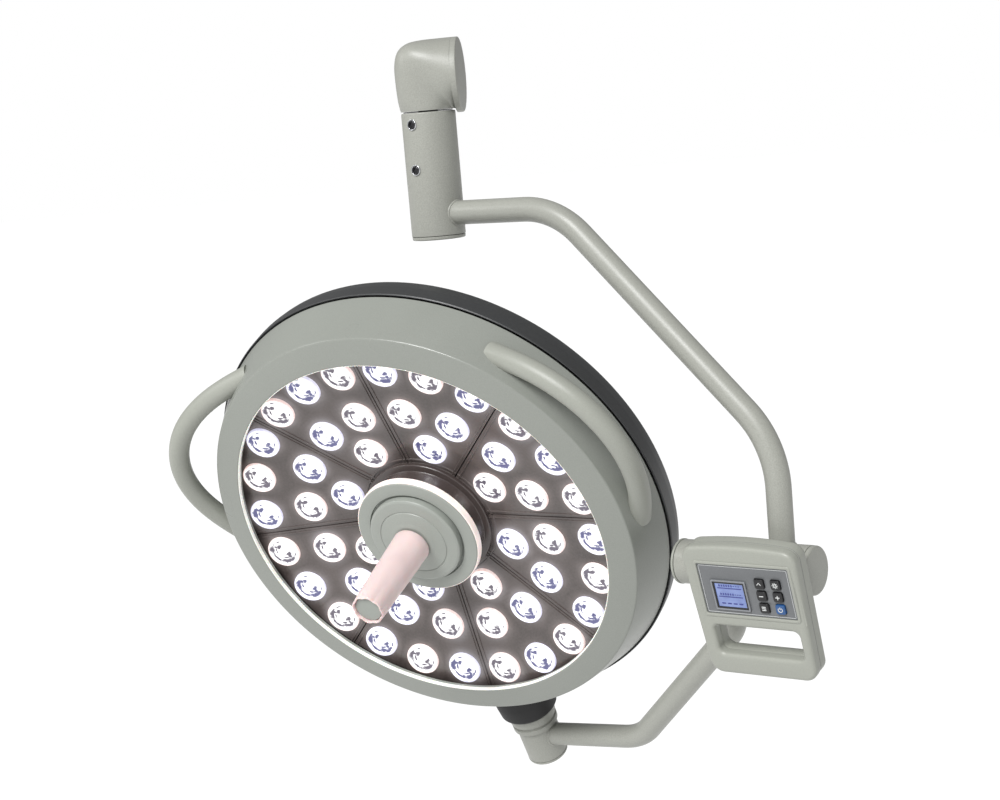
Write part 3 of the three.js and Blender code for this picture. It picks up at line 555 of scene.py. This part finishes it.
# knuckle and sleeve
def knuckle_body():
    """The elbow casting, skinned through ovals that fan out from the round seam to the flange."""
    lip = SEAM_Z - 0.5
    # each section's top end (x, z), bottom end (x, z), half width, and power: below 1 it's boxy
    stations = [
        ((-27, SEAM_Z), (27, SEAM_Z), 27.0, 1.0), ((-28.6, -22), (27.6, lip + 0.4), 27.4, 0.9),
        ((-29.2, -4), (28.0, lip + 0.2), 28.2, 0.76), ((-28.4, 14), (28.4, lip), 29.6, 0.66),
        ((-23.8, 27), (28.7, lip), 31.4, 0.62), ((-14, 34.0), (29.0, lip), 33.4, 0.64),
        ((-1, 36.2), (29.2, lip), 35.0, 0.74), ((15, 36.7), (29.6, lip), 36.0, 0.88),
        ((30, 36.9), (30, lip), 36.8, 1.0),
    ]
    points, rings = [], []
    segments = 96
    between = 6  # rings from one station to the next

    def blended(values, i, t):
        """Catmull-Rom value between stations i and i + 1."""
        a, b = values[max(i - 1, 0)], values[i]
        c, d = values[i + 1], values[min(i + 2, len(values) - 1)]
        return 0.5 * (2 * b + (c - a) * t + (2 * a - 5 * b + 4 * c - d) * t * t
                      + (3 * b - a - 3 * c + d) * t ** 3)

    def boxed(value, power):
        return math.copysign(abs(value) ** power, value)

    columns = [[top[0] for top, *_ in stations], [top[1] for top, *_ in stations],
               [low[0] for _, low, *_ in stations], [low[1] for _, low, *_ in stations],
               [station[2] for station in stations], [station[3] for station in stations]]
    for i in range(len(stations) - 1):
        last = i == len(stations) - 2
        for k in range(between + (1 if last else 0)):
            top_x, top_z, low_x, low_z, half, power = (
                blended(column, i, k / between) for column in columns)
            rings.append(list(range(len(points), len(points) + segments)))
            for n in range(segments):
                a = TURN * (n + 0.5) / segments
                share = (1 + boxed(math.cos(a), power)) / 2
                points.append(Vector((low_x + (top_x - low_x) * share,
                                      half * boxed(math.sin(a), power),
                                      low_z + (top_z - low_z) * share)))
    rings = [[len(points)], *rings, [len(points) + 1]]
    points.extend([Vector((0, 0, SEAM_Z)), Vector((29.9, 0, 2))])
    return points, skinned(rings)


def screw(radius, length, socket, top):
    """A set screw along Z with a hexagon socket sunk in its rounded top."""
    shank = rounded([(0, top - length, 0), (radius, top - length, 0.4), (radius, top, 0.7),
                     (socket * 1.12, top, 0.25), (socket * 1.05, top - 0.5, 0)], closed=False)
    points, faces = lathe(shank, SCREW_SEGMENTS)
    rim = list(range(len(points) - SCREW_SEGMENTS, len(points)))
    hexagon, bottom = [], []
    for i in range(SCREW_SEGMENTS):
        a = TURN * i / SCREW_SEGMENTS
        reach = socket * math.cos(math.pi / 6) / math.cos((a % (math.pi / 3)) - math.pi / 6)
        for ring, z in ((hexagon, top - 0.5), (bottom, top - 1.6)):
            ring.append(len(points))
            points.append(Vector((reach * math.cos(a), reach * math.sin(a), z)))
    points.append(Vector((0, 0, top - 1.7)))
    return points, faces + skinned([rim, hexagon, bottom, [len(points) - 1]])


def weld_bead(host_radius):
    """The fillet where a tube along X leaves an upright barrel, as a bead on the line they meet on."""
    path = []
    steps = 72
    for i in range(steps):
        a = TURN * i / steps
        y, z = TUBE_RADIUS * math.sin(a), TUBE_RADIUS * math.cos(a)
        path.append(Vector((math.sqrt(host_radius ** 2 - y * y), y, z)))
    return sweep(path, 1.3, 12, closed=True, upright=Vector((1, 0, 0)))


piece("knuckle_casting", knuckle_body(), KNUCKLE, "knuckle", ARM_PAINT, "knuckle_shell", sharp=40)
piece("arm_flange_face", barrel(0, FLANGE_RADIUS, 30, 36, 0.1, 1.2), KNUCKLE @ ALONG_X, "knuckle",
      ARM_PAINT, "arm_flange")
piece("seam_washer", barrel(11, 24.6, -33.7, -32.8, 0.3, 0.3), SLEEVE, "upper_yoke", SEAM_BLACK,
      "thrust_washer")
sleeve_top = SEAM_Z - 1.5
sleeve_bore = 16
sleeve_wall = rounded([
    (sleeve_bore, SLEEVE_BOTTOM, 0), (SLEEVE_RADIUS, SLEEVE_BOTTOM, 0.5), (SLEEVE_RADIUS, sleeve_top, 1.4),
    (sleeve_bore, sleeve_top, 0.3)])
piece("sleeve_barrel", lathe(sleeve_wall), SLEEVE, "upper_yoke", ARM_PAINT, "sleeve")
sleeve_cap = barrel(0, SLEEVE_RADIUS - 0.4, SLEEVE_BOTTOM - 4, SLEEVE_BOTTOM - 0.5, 1.4, 0.3)
piece("sleeve_end_cap", sleeve_cap, SLEEVE, "upper_yoke", ARM_PAINT, "sleeve_cap")
for name, z in (("stop_screw", STOP_SCREW_Z), ("brake_screw", BRAKE_SCREW_Z)):
    place = SLEEVE @ shifted(0, 0, z) @ FACING_FRONT
    set_screw = screw(4.3, 9, 2.6, SLEEVE_RADIUS + 1.9)
    piece(f"{name}_chrome", set_screw, place, "upper_yoke", DARK_STEEL, name)
    insert = rounded([(4.35, 22, 0), (5.5, 22, 0), (5.5, SLEEVE_RADIUS + 1.2, 0.35),
                      (4.35, SLEEVE_RADIUS + 1.2, 0.3)])
    piece(f"{name}_insert", lathe(insert, SCREW_SEGMENTS), place, "upper_yoke", CHROME)


# upper yoke
upper_path = bent([
    (SWIVEL_OFFSET + SLEEVE_RADIUS - 6, UPPER_RUN_Z, 0),
    (UPPER_DIAGONAL - UPPER_RUN_Z, UPPER_RUN_Z, 90),
    (UPPER_LEG_X, UPPER_DIAGONAL - UPPER_LEG_X, 100), (UPPER_LEG_X, 14, 0)])
piece("upper_arm_bent_tube", sweep(upper_path, TUBE_RADIUS), UPPER, "upper_yoke", ARM_PAINT,
      "upper_arm_tube")
bead_place = SLEEVE @ shifted(0, 0, UPPER_RUN_Z - GIMBAL_DROP)
piece("sleeve_weld", weld_bead(SLEEVE_RADIUS), bead_place, "upper_yoke", ARM_PAINT)
piece("pivot_housing_barrel", barrel(17, HOUSING_RADIUS, 341.2, 403, 1.2, 0.5), UPPER @ ALONG_X,
      "upper_yoke", ARM_PAINT, "pivot_housing")
piece("pivot_housing_end", barrel(0, HOUSING_RADIUS - 0.2, 403.5, 408, 0.3, 2.2), UPPER @ ALONG_X,
      "upper_yoke", ARM_PAINT, "pivot_housing_cap")
leg_place = UPPER @ shifted(UPPER_LEG_X) @ turned(-math.pi / 2, "Y")
piece("housing_weld", weld_bead(HOUSING_RADIUS), leg_place, "upper_yoke", ARM_PAINT)


# lower yoke
lower_path = bent([
    (SOCKET_RADIUS - 4, -LOWER_RUN_DROP, 0), (LOWER_DIAGONAL - LOWER_BEND_DROP, -LOWER_BEND_DROP, 60),
    (LOWER_LEG_X, LOWER_LEG_X - LOWER_DIAGONAL, 60), (LOWER_LEG_X, -12, 0)])
piece("lower_arm_bent_tube", sweep(lower_path, TUBE_RADIUS), LOWER, "lower_yoke", ARM_PAINT,
      "lower_arm_tube")
piece("pivot_hub_barrel", barrel(10, HUB_RADIUS, 268, 338.8, 0.5, 1.0), LOWER @ ALONG_X, "lower_yoke",
      ARM_PAINT, "pivot_hub")
piece("pivot_hub_end", barrel(0, HUB_RADIUS + 0.5, 265, 267.6, 0.9, 0.5), LOWER @ ALONG_X, "lower_yoke",
      PANEL_PLASTIC, "pivot_hub_cap")
piece("friction_ring", barrel(10.3, 20, 339.1, 340.9, 0.2, 0.2), LOWER @ ALONG_X, "lower_yoke",
      SEAM_BLACK, "friction_washer")
leg_place = LOWER @ shifted(LOWER_LEG_X) @ turned(math.pi / 2, "Y")
piece("hub_weld", weld_bead(HUB_RADIUS), leg_place, "lower_yoke", ARM_PAINT)

piece("head_socket_barrel", barrel(12.5, SOCKET_RADIUS, -279, -240.4, 0.4, 0.8), LOWER, "lower_yoke",
      ARM_PAINT, "head_socket")
piece("head_socket_end", barrel(0, 22.2, -282.5, -279.5, 1.9, 0.3), LOWER, "lower_yoke", ARM_PAINT,
      "socket_cap")
stepped_collar = rounded([
    (12.5, -240, 0), (23, -240, 0.4), (24.8, -238.6, 0.5), (24.8, -233.6, 0.6), (23.0, -232.6, 0.3),
    (23.0, -230.4, 0.3), (25.2, -229.4, 0.5), (25.6, -221.4, 1.2), (24.0, -219.6, 0.4),
    (24.0, -218.2, 0.3), (12.5, -218.2, 0)])
piece("socket_stepped_collar", lathe(stepped_collar), LOWER, "lower_yoke", ARM_PAINT, "socket_collar")
bead_place = LOWER @ shifted(0, 0, -LOWER_RUN_DROP)
piece("socket_weld", weld_bead(SOCKET_RADIUS), bead_place, "lower_yoke", ARM_PAINT)


# ---------------------------------------------------------------- control panel
# Each plate's two heights are in front of the tilt axis. Its last numbers are the rounding of its edges
# and the steps of that rounding.
PANEL_OUTLINE = {"width": 118, "height": 132, "y": -22, "corner": 13, "crown": 4, "taper": 4}
GRIP = {"x": 2, "y": -51.5, "width": 85, "height": 27}
LABEL = {"x": 2.5, "y": 3, "width": 93, "height": 51}
DISPLAY = {"x": -15, "y": -2.5, "width": 36, "height": 31}
KEY_SIZE = 9.6
KEY_COLUMNS = (18, 34.5)
KEY_ROWS = (12.4, 0, -12.6)


def panel_outline(grow=0):
    size = PANEL_OUTLINE
    return rectangle(0, size["y"], size["width"] + 2 * grow, size["height"] + 2 * grow,
                     size["corner"] + grow, size["crown"], size["taper"])


def grip_outline(grow=0):
    return rectangle(GRIP["x"], GRIP["y"], GRIP["width"] + 2 * grow, GRIP["height"] + 2 * grow, 4.5 + grow)


def window(size, grow=0, corner=1.0):
    return rectangle(size["x"], size["y"], size["width"] + 2 * grow, size["height"] + 2 * grow, corner)


def key_outline(x, y, grow=0):
    return rectangle(x, y, KEY_SIZE + 2 * grow, KEY_SIZE + 2 * grow, 1.9)


KEY_PLACES = [(x, y) for y in KEY_ROWS for x in KEY_COLUMNS]
front_shell = plate([panel_outline(), grip_outline(1.5), window(LABEL, 0.6, 2.0)], 37.2, 49.8, 4.0, 6)
recess = plate([window(LABEL, 8, 3.0), *(key_outline(x, y, 0.4) for x, y in KEY_PLACES)],
               40, 48.6, 0.3, 2)
surround = plate([window(LABEL, 3.6, 3.6), window(LABEL, 0.5, 1.6)], 46, 50.4, 0.9, 3)
piece("panel_front_moulding", joined(front_shell, recess, surround), PANEL, "lower_yoke", PANEL_PLASTIC,
      "panel_front_shell")
back_shell = plate([panel_outline(-0.5), grip_outline(1.9)], 24.3, 42, 5.4, 6)
piece("panel_back_moulding", back_shell, PANEL, "lower_yoke", PANEL_PLASTIC, "panel_back_shell")
seal = plate([panel_outline(-0.6), panel_outline(-3)], 36.6, 38.0, 0.3, 2)
piece("panel_seam_seal", seal, PANEL, "lower_yoke", LABEL_FILM)
film = plate([window(LABEL, 0.2, 1.2), window(DISPLAY, 0.2, 0.8),
              *(key_outline(x, y, 0.35) for x, y in KEY_PLACES)], 48.5, 49.1, 0.15, 1)
piece("panel_label_film", film, PANEL, "lower_yoke", LABEL_FILM, "panel_overlay")

trim = plate([window(DISPLAY, 0, 1.4), window(DISPLAY, -1.6, 0.9)], 47.5, 50.6, 0.5, 3)
piece("display_silver_frame", trim, PANEL, "lower_yoke", SILVER_TRIM, "display_bezel")
mask = plate([window(DISPLAY, -1.3, 0.9), window(DISPLAY, -3.4, 0.5)], 47, 49.9, 0.2, 1)
piece("display_dark_border", mask, PANEL, "lower_yoke", KEY_PLASTIC)
pane = plate([window(DISPLAY, -3.1, 0.5)], 46.5, 49.5, 0.1, 1)
piece("display_pane", pane, PANEL, "lower_yoke", SCREEN, "display_glass")


def display_bars():
    """Two level gauges and a status row, as plain bars."""
    x, y = DISPLAY["x"], DISPLAY["y"]
    bars = []
    for row in (7.2, -1.6):
        bars.append((x, y + row, 25, 1.0))
        for k in range(9):
            bars.append((x - 10 + 2.5 * k, y + row + 2.6, 1.5, 2.2 if k < 6 else 0.8))
    for k in range(4):
        bars.append((x - 9 + 6 * k, y - 8.6, 4.2, 1.4))
    return joined(*(plate([rectangle(bx, by, w, h, min(w, h) * 0.3)], 49.4, 49.62, 0.05, 1)
                    for bx, by, w, h in bars))


piece("display_bars", display_bars(), PANEL, "lower_yoke", SCREEN_INK)


def strokes(lines):
    """Raised strokes along flat lines of (x, y) points."""
    return joined(*(sweep([Vector((x, y, 0)) for x, y in line], 0.42, 10) for line in lines))


border = [(x, y) for x, y in window(LABEL, -1.3, 1.0)]
edging = sweep([Vector((x, y, 49.08)) for x, y in border], 0.22, 8, closed=True)
piece("panel_label_border", edging, PANEL, "lower_yoke", SYMBOL_INK)


def arc(start, end, radius):
    steps = 22
    angles = (math.radians(start + (end - start) * k / steps) for k in range(steps + 1))
    return [(radius * math.cos(a), radius * math.sin(a)) for a in angles]


def rays(count, inner, outer):
    spokes = (TURN * k / count for k in range(count))
    return [[(inner * math.cos(a), inner * math.sin(a)), (outer * math.cos(a), outer * math.sin(a))]
            for a in spokes]


KEY_SYMBOLS = {
    "key_up": [[(-1.9, -0.8), (0, 1.6), (1.9, -0.8)]],
    "key_brighter": [arc(0, 360, 1.3), *rays(8, 2.0, 2.9)],
    "key_colder": [[(-2.1, 0), (2.1, 0)]],
    "key_warmer": [[(-2.1, 0), (2.1, 0)], [(0, -2.1), (0, 2.1)]],
    "key_mode": [[(-2.0, dy), (2.0, dy)] for dy in (-1.7, 0, 1.7)],
    "key_power": [arc(125, 415, 2.1), [(0, 0.4), (0, 2.8)]],
}
KEY_TOP = 51.2
for (name, lines), (x, y) in zip(KEY_SYMBOLS.items(), KEY_PLACES):
    look = POWER_PLASTIC if name == "key_power" else KEY_PLASTIC
    button = plate([key_outline(x, y)], 45, KEY_TOP, 0.7, 4)
    piece(f"{name}_button", button, PANEL, f"{name}_cap", look, name)
    symbol = moved(strokes(lines), shifted(x, y, KEY_TOP - 0.05))
    piece(f"{name}_symbol", symbol, PANEL, f"{name}_cap", SYMBOL_INK)


# ---------------------------------------------------------------- head casing
ROUND_SEGMENTS = 256


def offset(profile, distance):
    """An outline moved square to itself, to its right-hand side for a positive distance."""
    moved_points = []
    for i, (r, z) in enumerate(profile):
        r0, z0 = profile[max(i - 1, 0)]
        r1, z1 = profile[min(i + 1, len(profile) - 1)]
        length = math.hypot(r1 - r0, z1 - z0)
        moved_r = 0 if r == 0 else r + distance * (z1 - z0) / length
        moved_points.append((moved_r, z - distance * (r1 - r0) / length))
    return moved_points


bezel = rounded([
    (202.5, -53, 0.3), (200, -53, 0.3), (200, -61, 1.4), (227.2, -55.6, 2.6), (244, -7, 0.8),
    (241.5, -7, 0.3), (225, -51.6, 1.0), (202.5, -57.2, 0)])
piece("bezel_ring", lathe(bezel, ROUND_SEGMENTS), HEAD, "head", BEZEL_PAINT, "front_bezel")

lip = rounded([(199.5, -56.4, 0.2), (199.5, -60.0, 0.3), (200.3, -60.6, 0.1), (200.3, -56.4, 0)])
piece("bezel_lit_lip", lathe(lip, ROUND_SEGMENTS), HEAD, "head", LIT_LIP)

cover_outside = rounded([
    (245.6, -6.7, 0), (246.4, -5.6, 0.4), (246.5, 8, 6), (244.6, 20, 12), (229, 35, 20), (221.5, 36.9, 0.3),
    (221.0, 36.2, 0.2), (219.6, 36.5, 0.2), (219.0, 37.4, 0.3), (200, 41, 12), (120, 47, 60),
    (60.5, 48.0, 0.5), (59.5, 47.1, 0.4), (57, 47.2, 0.4), (56, 48.2, 0.5), (0, 48.9, 0)], closed=False)
COVER_WALL = 2.5
cover = [*reversed(cover_outside), *offset(cover_outside, -COVER_WALL)]
piece("cover_dome", lathe(cover, ROUND_SEGMENTS), HEAD, "head", COVER_PAINT, "rear_cover")
SCREW_CIRCLE = 208
SCREW_HEIGHT = 39.4
SCREW_LEAN = math.radians(11)
screws = []
for i in range(SECTORS):
    angle = TURN * (i + 0.5) / SECTORS
    tip = turned(angle, "Z") @ shifted(SCREW_CIRCLE, 0, SCREW_HEIGHT) @ turned(SCREW_LEAN, "Y")
    screws.append(moved(screw(3.6, 4, 1.7, 1.7), tip))
piece("cover_screws", joined(*screws), HEAD, "head", STEEL)

boot = rounded([(17, 216, 0), (33.4, 216, 0), (33.4, 240, 30), (33.0, 258, 30), (31.4, 272.4, 3),
                (29.8, 274.6, 0.8), (17, 274.6, 0)])
piece("boot_sleeve", lathe(boot), HEAD @ ALONG_Y, "head", BOOT_RUBBER, "head_boot")

BAR = {"azimuth": 115, "half_angle": 24.6, "height": 42.5, "lean": 36.5, "foot_radius": 234.5,
       "foot_z": -33.7}


def side_handle(side):
    """An arched bar that stands square on the bezel's flared wall and sinks its feet into it."""
    path = []
    lean = math.radians(BAR["lean"])
    half_steps = 36
    past_the_feet = 1.12  # the bar's ends reach this much further than its feet
    for i in range(2 * half_steps + 1):
        along = (i / half_steps - 1) * past_the_feet
        rise = BAR["height"] * math.cos(along * math.pi / 2)
        radius = BAR["foot_radius"] + rise * math.cos(lean)
        a = math.radians(90 + side * BAR["azimuth"] + along * BAR["half_angle"])
        z = BAR["foot_z"] - rise * math.sin(lean)
        path.append(Vector((radius * math.cos(a), radius * math.sin(a), z)))
    return sweep(path, lambda t: 10.5 + 1.3 * abs(2 * t - 1) ** 5, 44)


piece("handle_bar_left", side_handle(1), HEAD, "head", PANEL_PLASTIC, "side_handle_left")
piece("handle_bar_right", side_handle(-1), HEAD, "head", PANEL_PLASTIC, "side_handle_right")


# ---------------------------------------------------------------- optics
def dish(radius):
    """Height of the lens dish at a distance from the optical axis."""
    return LED_PLANE + DISH_SLOPE * (LED_RINGS[0][0] - radius)


def lens_places():
    """Centre of each of a sector's lenses, and whether its LED is a cool one."""
    places = []
    for radius, offsets in LED_RINGS:
        for k, angle in enumerate(offsets):
            a = math.radians(angle)
            cool = (k + len(offsets)) % 2
            places.append((radius * math.cos(a), radius * math.sin(a), dish(radius), cool))
    return places


def sector_plate():
    """One sector of the lens dish, with a rib along each straight edge and ridges round the hub."""
    half = math.pi / SECTORS
    # (radius, height of the ridge there)
    rows = [(60, 0), (63.6, 0), (64.2, 1.4), (66.2, 1.4), (66.8, 0), (69.4, 0), (69.9, 0.9), (71.3, 0.9),
            (71.8, 0)] + [(74 + 4 * k, 0) for k in range(34)]
    # (distance in from the straight edge, height of the rib there)
    edge = [(0.35, -1.0), (0.7, 0), (2.9, 0), (3.2, 0.9), (4.3, 0.9), (4.6, 0)]
    lenses = lens_places()
    points, marks, grid = [], [], []
    for radius, ridge in rows:
        columns = [(half - inset / radius, rib) for inset, rib in edge]
        inner = columns[-1][0]
        right = columns + [(inner * (1 - k / 14), 0) for k in range(1, 14)]
        across = right + [(0, 0)] + [(-a, rib) for a, rib in reversed(right)]
        line = []
        for a, rib in across:
            x, y = radius * math.cos(a), radius * math.sin(a)
            lift = -1.0 if rib < 0 else max(ridge, rib)
            near = min(math.hypot(x - lens[0], y - lens[1]) for lens in lenses) - LENS_RADIUS
            line.append(len(points))
            points.append(Vector((x, y, dish(radius) - lift)))
            marks.append((0, 0, math.exp(-max(near, 0) / 4)))
        grid.append(line)
    faces = [(low[i], low[i + 1], high[i + 1], high[i])
             for low, high in zip(grid, grid[1:]) for i in range(len(low) - 1)]
    border = [*grid[0], *(line[-1] for line in grid[1:-1]), *reversed(grid[-1]),
              *(line[0] for line in reversed(grid[1:-1]))]
    under = len(points)
    points.extend([Vector((p.x, p.y, dish(math.hypot(p.x, p.y)) + 4)) for p in points])
    faces.extend([tuple(under + i for i in reversed(face)) for face in faces])
    following = border[1:] + border[:1]
    faces.extend([(a, b, under + b, under + a) for a, b in zip(border, following)])
    return points, faces, marks + [(0, 0, 0)] * under


LENS_PROFILE = [
    (17.5, 3), (17.5, -2.6), (17.2, -3.2), (16.7, -3.5), (15.9, -3.5), (15.3, -3.1), (14.9, -2.4),
    (13.4, -1.5), (11.0, -0.9), (8.4, -0.6), (6.2, -0.6), (5.4, -1.2), (4.6, -2.0), (3.0, -2.6), (0, -2.9)]
LENS_TILT = turned(math.atan(DISH_SLOPE), "Y")

for i in range(SECTORS):
    rotation = turned(TURN * (i + 0.5) / SECTORS, "Z")
    number = i + 1
    *wedge, glow = sector_plate()
    piece(f"lens_sector_{number}", wedge, HEAD @ rotation, "head", LENS_PLATE, f"lens_plate_{number}",
          marks=glow)
    lenses, marks = [], []
    for x, y, z, cool in lens_places():
        lens = lathe(LENS_PROFILE, 40)
        outward = rotation @ turned(math.atan2(y, x), "Z")
        upright = shifted(*(rotation @ Vector((x, y, z)))) @ outward @ LENS_TILT @ outward.inverted()
        tint = (cool + i) % 2
        marks.extend((p.x / LENS_RADIUS, p.y / LENS_RADIUS, tint) for p in lens[0])
        lenses.append(moved(lens, upright))
    piece(f"led_lenses_{number}", joined(*lenses), HEAD, "head", LENS_LIT,
          sharp=50, marks=marks)

# a skirt under the lens plates closes the dish behind their gaps
skirt = [(40, -24), (209, -38), (209, -34), (40, -20)]
piece("dish_skirt", lathe(skirt), HEAD, "head", SEAM_BLACK)

# ---------------------------------------------------------------- hub and handle
column = rounded([(30, -17.5, 0), (67, -30.5, 0.5), (67, -34.5, 1.2), (60.5, -35.5, 0.8), (59, -44, 1.5),
                  (58, -53, 0.3), (30, -53, 0)])
piece("hub_smoked_column", lathe(column), HEAD, "head", COLUMN_PLASTIC, "hub_column")
disc = rounded([(14, -53.3, 0), (64.0, -53.3, 0.4), (64.4, -62.9, 1.2), (51.0, -63.2, 0.5),
                (50.4, -60.2, 0.2), (14, -60.2, 0)])
piece("hub_disc_face", lathe(disc, 128), HEAD, "head", HUB_PLASTIC, "hub_disc")
band = rounded([(63.2, -53.6, 0), (65.6, -53.8, 0.6), (65.4, -61.6, 0.9), (63.2, -61.8, 0)])
piece("hub_lit_rim", lathe(band, 128), HEAD, "head", RIM_LIGHT)
boss = rounded([(14, -60.4, 0), (48.4, -60.4, 0), (48.4, -68.4, 1.6), (46.2, -69.6, 1.4),
                (36.4, -70.6, 0.3), (36.0, -70.1, 0.1), (35.2, -70.2, 0.1), (34.8, -70.9, 0.3),
                (24, -72.8, 6), (20, -74.0, 1), (14, -74.0, 0)])
piece("hub_raised_ring", lathe(boss, 128), HEAD, "head", HUB_PLASTIC, "hub_ring")

FLUTES = 8
GRIP_BASE = HUB_FACE - 12.5
GRIP_TIP = LED_PLANE - 134


def grip_sleeve():
    """The sterilisable handle: a taper whose flutes fade in towards its scalloped, hollow tip."""
    length = GRIP_BASE - GRIP_TIP
    # (distance from the tip, radius, depth of the flutes)
    stations = [(length, 17.6, 0), (length - 0.6, 18.6, 0), (length - 2, 19.0, 0)]
    stations += [(length * (1 - k / 14), 18.9 - 2.3 * k / 14, 1.5 * max(0, k / 14 - 0.3) ** 1.4)
                 for k in range(1, 14)]
    stations += [(3, 16.5, 1.1), (1.2, 16.4, 1.2), (0.4, 16.1, 1.2), (0, 15.7, 1.2), (0, 15.0, 1.2),
                 (0.5, 14.6, 1.1), (2.2, 14.4, 1.0), (7, 14.2, 0.6), (7, 11.8, 0), (length - 20, 11.8, 0),
                 (length - 18, 14.0, 0), (length, 14.0, 0)]
    points, rings = [], []
    segments = FLUTES * 16
    for along, radius, depth in stations:
        rings.append(list(range(len(points), len(points) + segments)))
        for k in range(segments):
            a = TURN * k / segments
            r = radius - depth * (1 - abs(math.sin(a * FLUTES / 2)))
            points.append(Vector((r * math.cos(a), r * math.sin(a), GRIP_TIP + along)))
    return points, skinned(rings, closed=True)


piece("sterile_handle_sleeve", grip_sleeve(), HEAD, "grip", HANDLE_PLASTIC, "sterile_handle", sharp=50)
end_plug = rounded([(0, GRIP_TIP + 2.2, 0), (13.2, GRIP_TIP + 2.4, 0.3), (13.2, GRIP_TIP + 6, 0),
                    (0, GRIP_TIP + 6, 0)])
piece("handle_end_plug", lathe(end_plug), HEAD, "grip", HUB_PLASTIC)


# ---------------------------------------------------------------- camera, floor and light
# in metres and degrees, in the frame of the model
CAMERA_PLACE = (1.2520, -1.6225, -0.0399)
CAMERA_TURN = (81.995, 4.835, 36.669)
CAMERA_LENS = 73.8
FLOOR_RADIUS = 60
FLOOR_DROP = 1.3
WORLD_STRENGTH = 0.36
WHITE = (1, 1, 1, 1)


def camera():
    data = bpy.data.cameras.new("camera")
    data.lens = CAMERA_LENS
    data.sensor_width = 36
    data.clip_end = 100
    view = bpy.data.objects.new("camera", data)
    bpy.context.scene.collection.objects.link(view)
    view.location = CAMERA_PLACE
    view.rotation_euler = [math.radians(a) for a in CAMERA_TURN]
    bpy.context.scene.camera = view


def floor():
    mesh = bpy.data.meshes.new("floor")
    points, faces = lathe([(0, 0), (FLOOR_RADIUS, 0)])
    mesh.from_pydata([(p.x, p.y, CAD_BOX[0][2] - FLOOR_DROP) for p in points], [], faces)
    surface = Surface("floor_pale", Roughness=0.9)
    cloud = surface.noise(0.6, 2)
    surface.feed(surface.shader, {
        "Base Color": surface.mixed(surface.span(cloud, 0, 1), (0.95, 0.95, 0.95, 1),
                                    (0.97, 0.97, 0.97, 1))})
    mesh.materials.append(surface.material)
    ground = bpy.data.objects.new("floor", mesh)
    bpy.context.scene.collection.objects.link(ground)


def light(name, kind, energy, towards, place=(0, 0, 0), **settings):
    """A lamp that shines towards a direction. Its energy is in watts, a square metre for a sun."""
    data = bpy.data.lights.new(name, kind)
    data.energy = energy
    for key, value in settings.items():
        setattr(data, key, value)
    lamp = bpy.data.objects.new(name, data)
    bpy.context.scene.collection.objects.link(lamp)
    lamp.location = place
    lamp.rotation_euler = Vector(towards).to_track_quat("-Z", "Y").to_euler()


def studio():
    """A sun and one small side lamp in a world that lights evenly and shows as pure white."""
    world = bpy.data.worlds.new("studio")
    bpy.context.scene.world = world
    world.use_nodes = True
    tree = world.node_tree
    background = tree.nodes["Background"]
    background.inputs["Color"].default_value = WHITE
    background.inputs["Strength"].default_value = WORLD_STRENGTH
    white = tree.nodes.new("ShaderNodeBackground")
    white.inputs["Color"].default_value = WHITE
    seen = tree.nodes.new("ShaderNodeLightPath")
    mix = tree.nodes.new("ShaderNodeMixShader")
    tree.links.new(seen.outputs["Is Camera Ray"], mix.inputs[0])
    tree.links.new(background.outputs[0], mix.inputs[1])
    tree.links.new(white.outputs[0], mix.inputs[2])
    tree.links.new(mix.outputs[0], tree.nodes["World Output"].inputs["Surface"])
    light("key", "SUN", 3.7, (-0.08, 0.75, -0.65), angle=math.radians(25))
    light("side", "AREA", 5, (0.80, 0.50, -0.45), (-1.3, -1.2, 0.7), size=0.4)
    bpy.context.scene.view_settings.view_transform = "Standard"


camera()
floor()
studio()
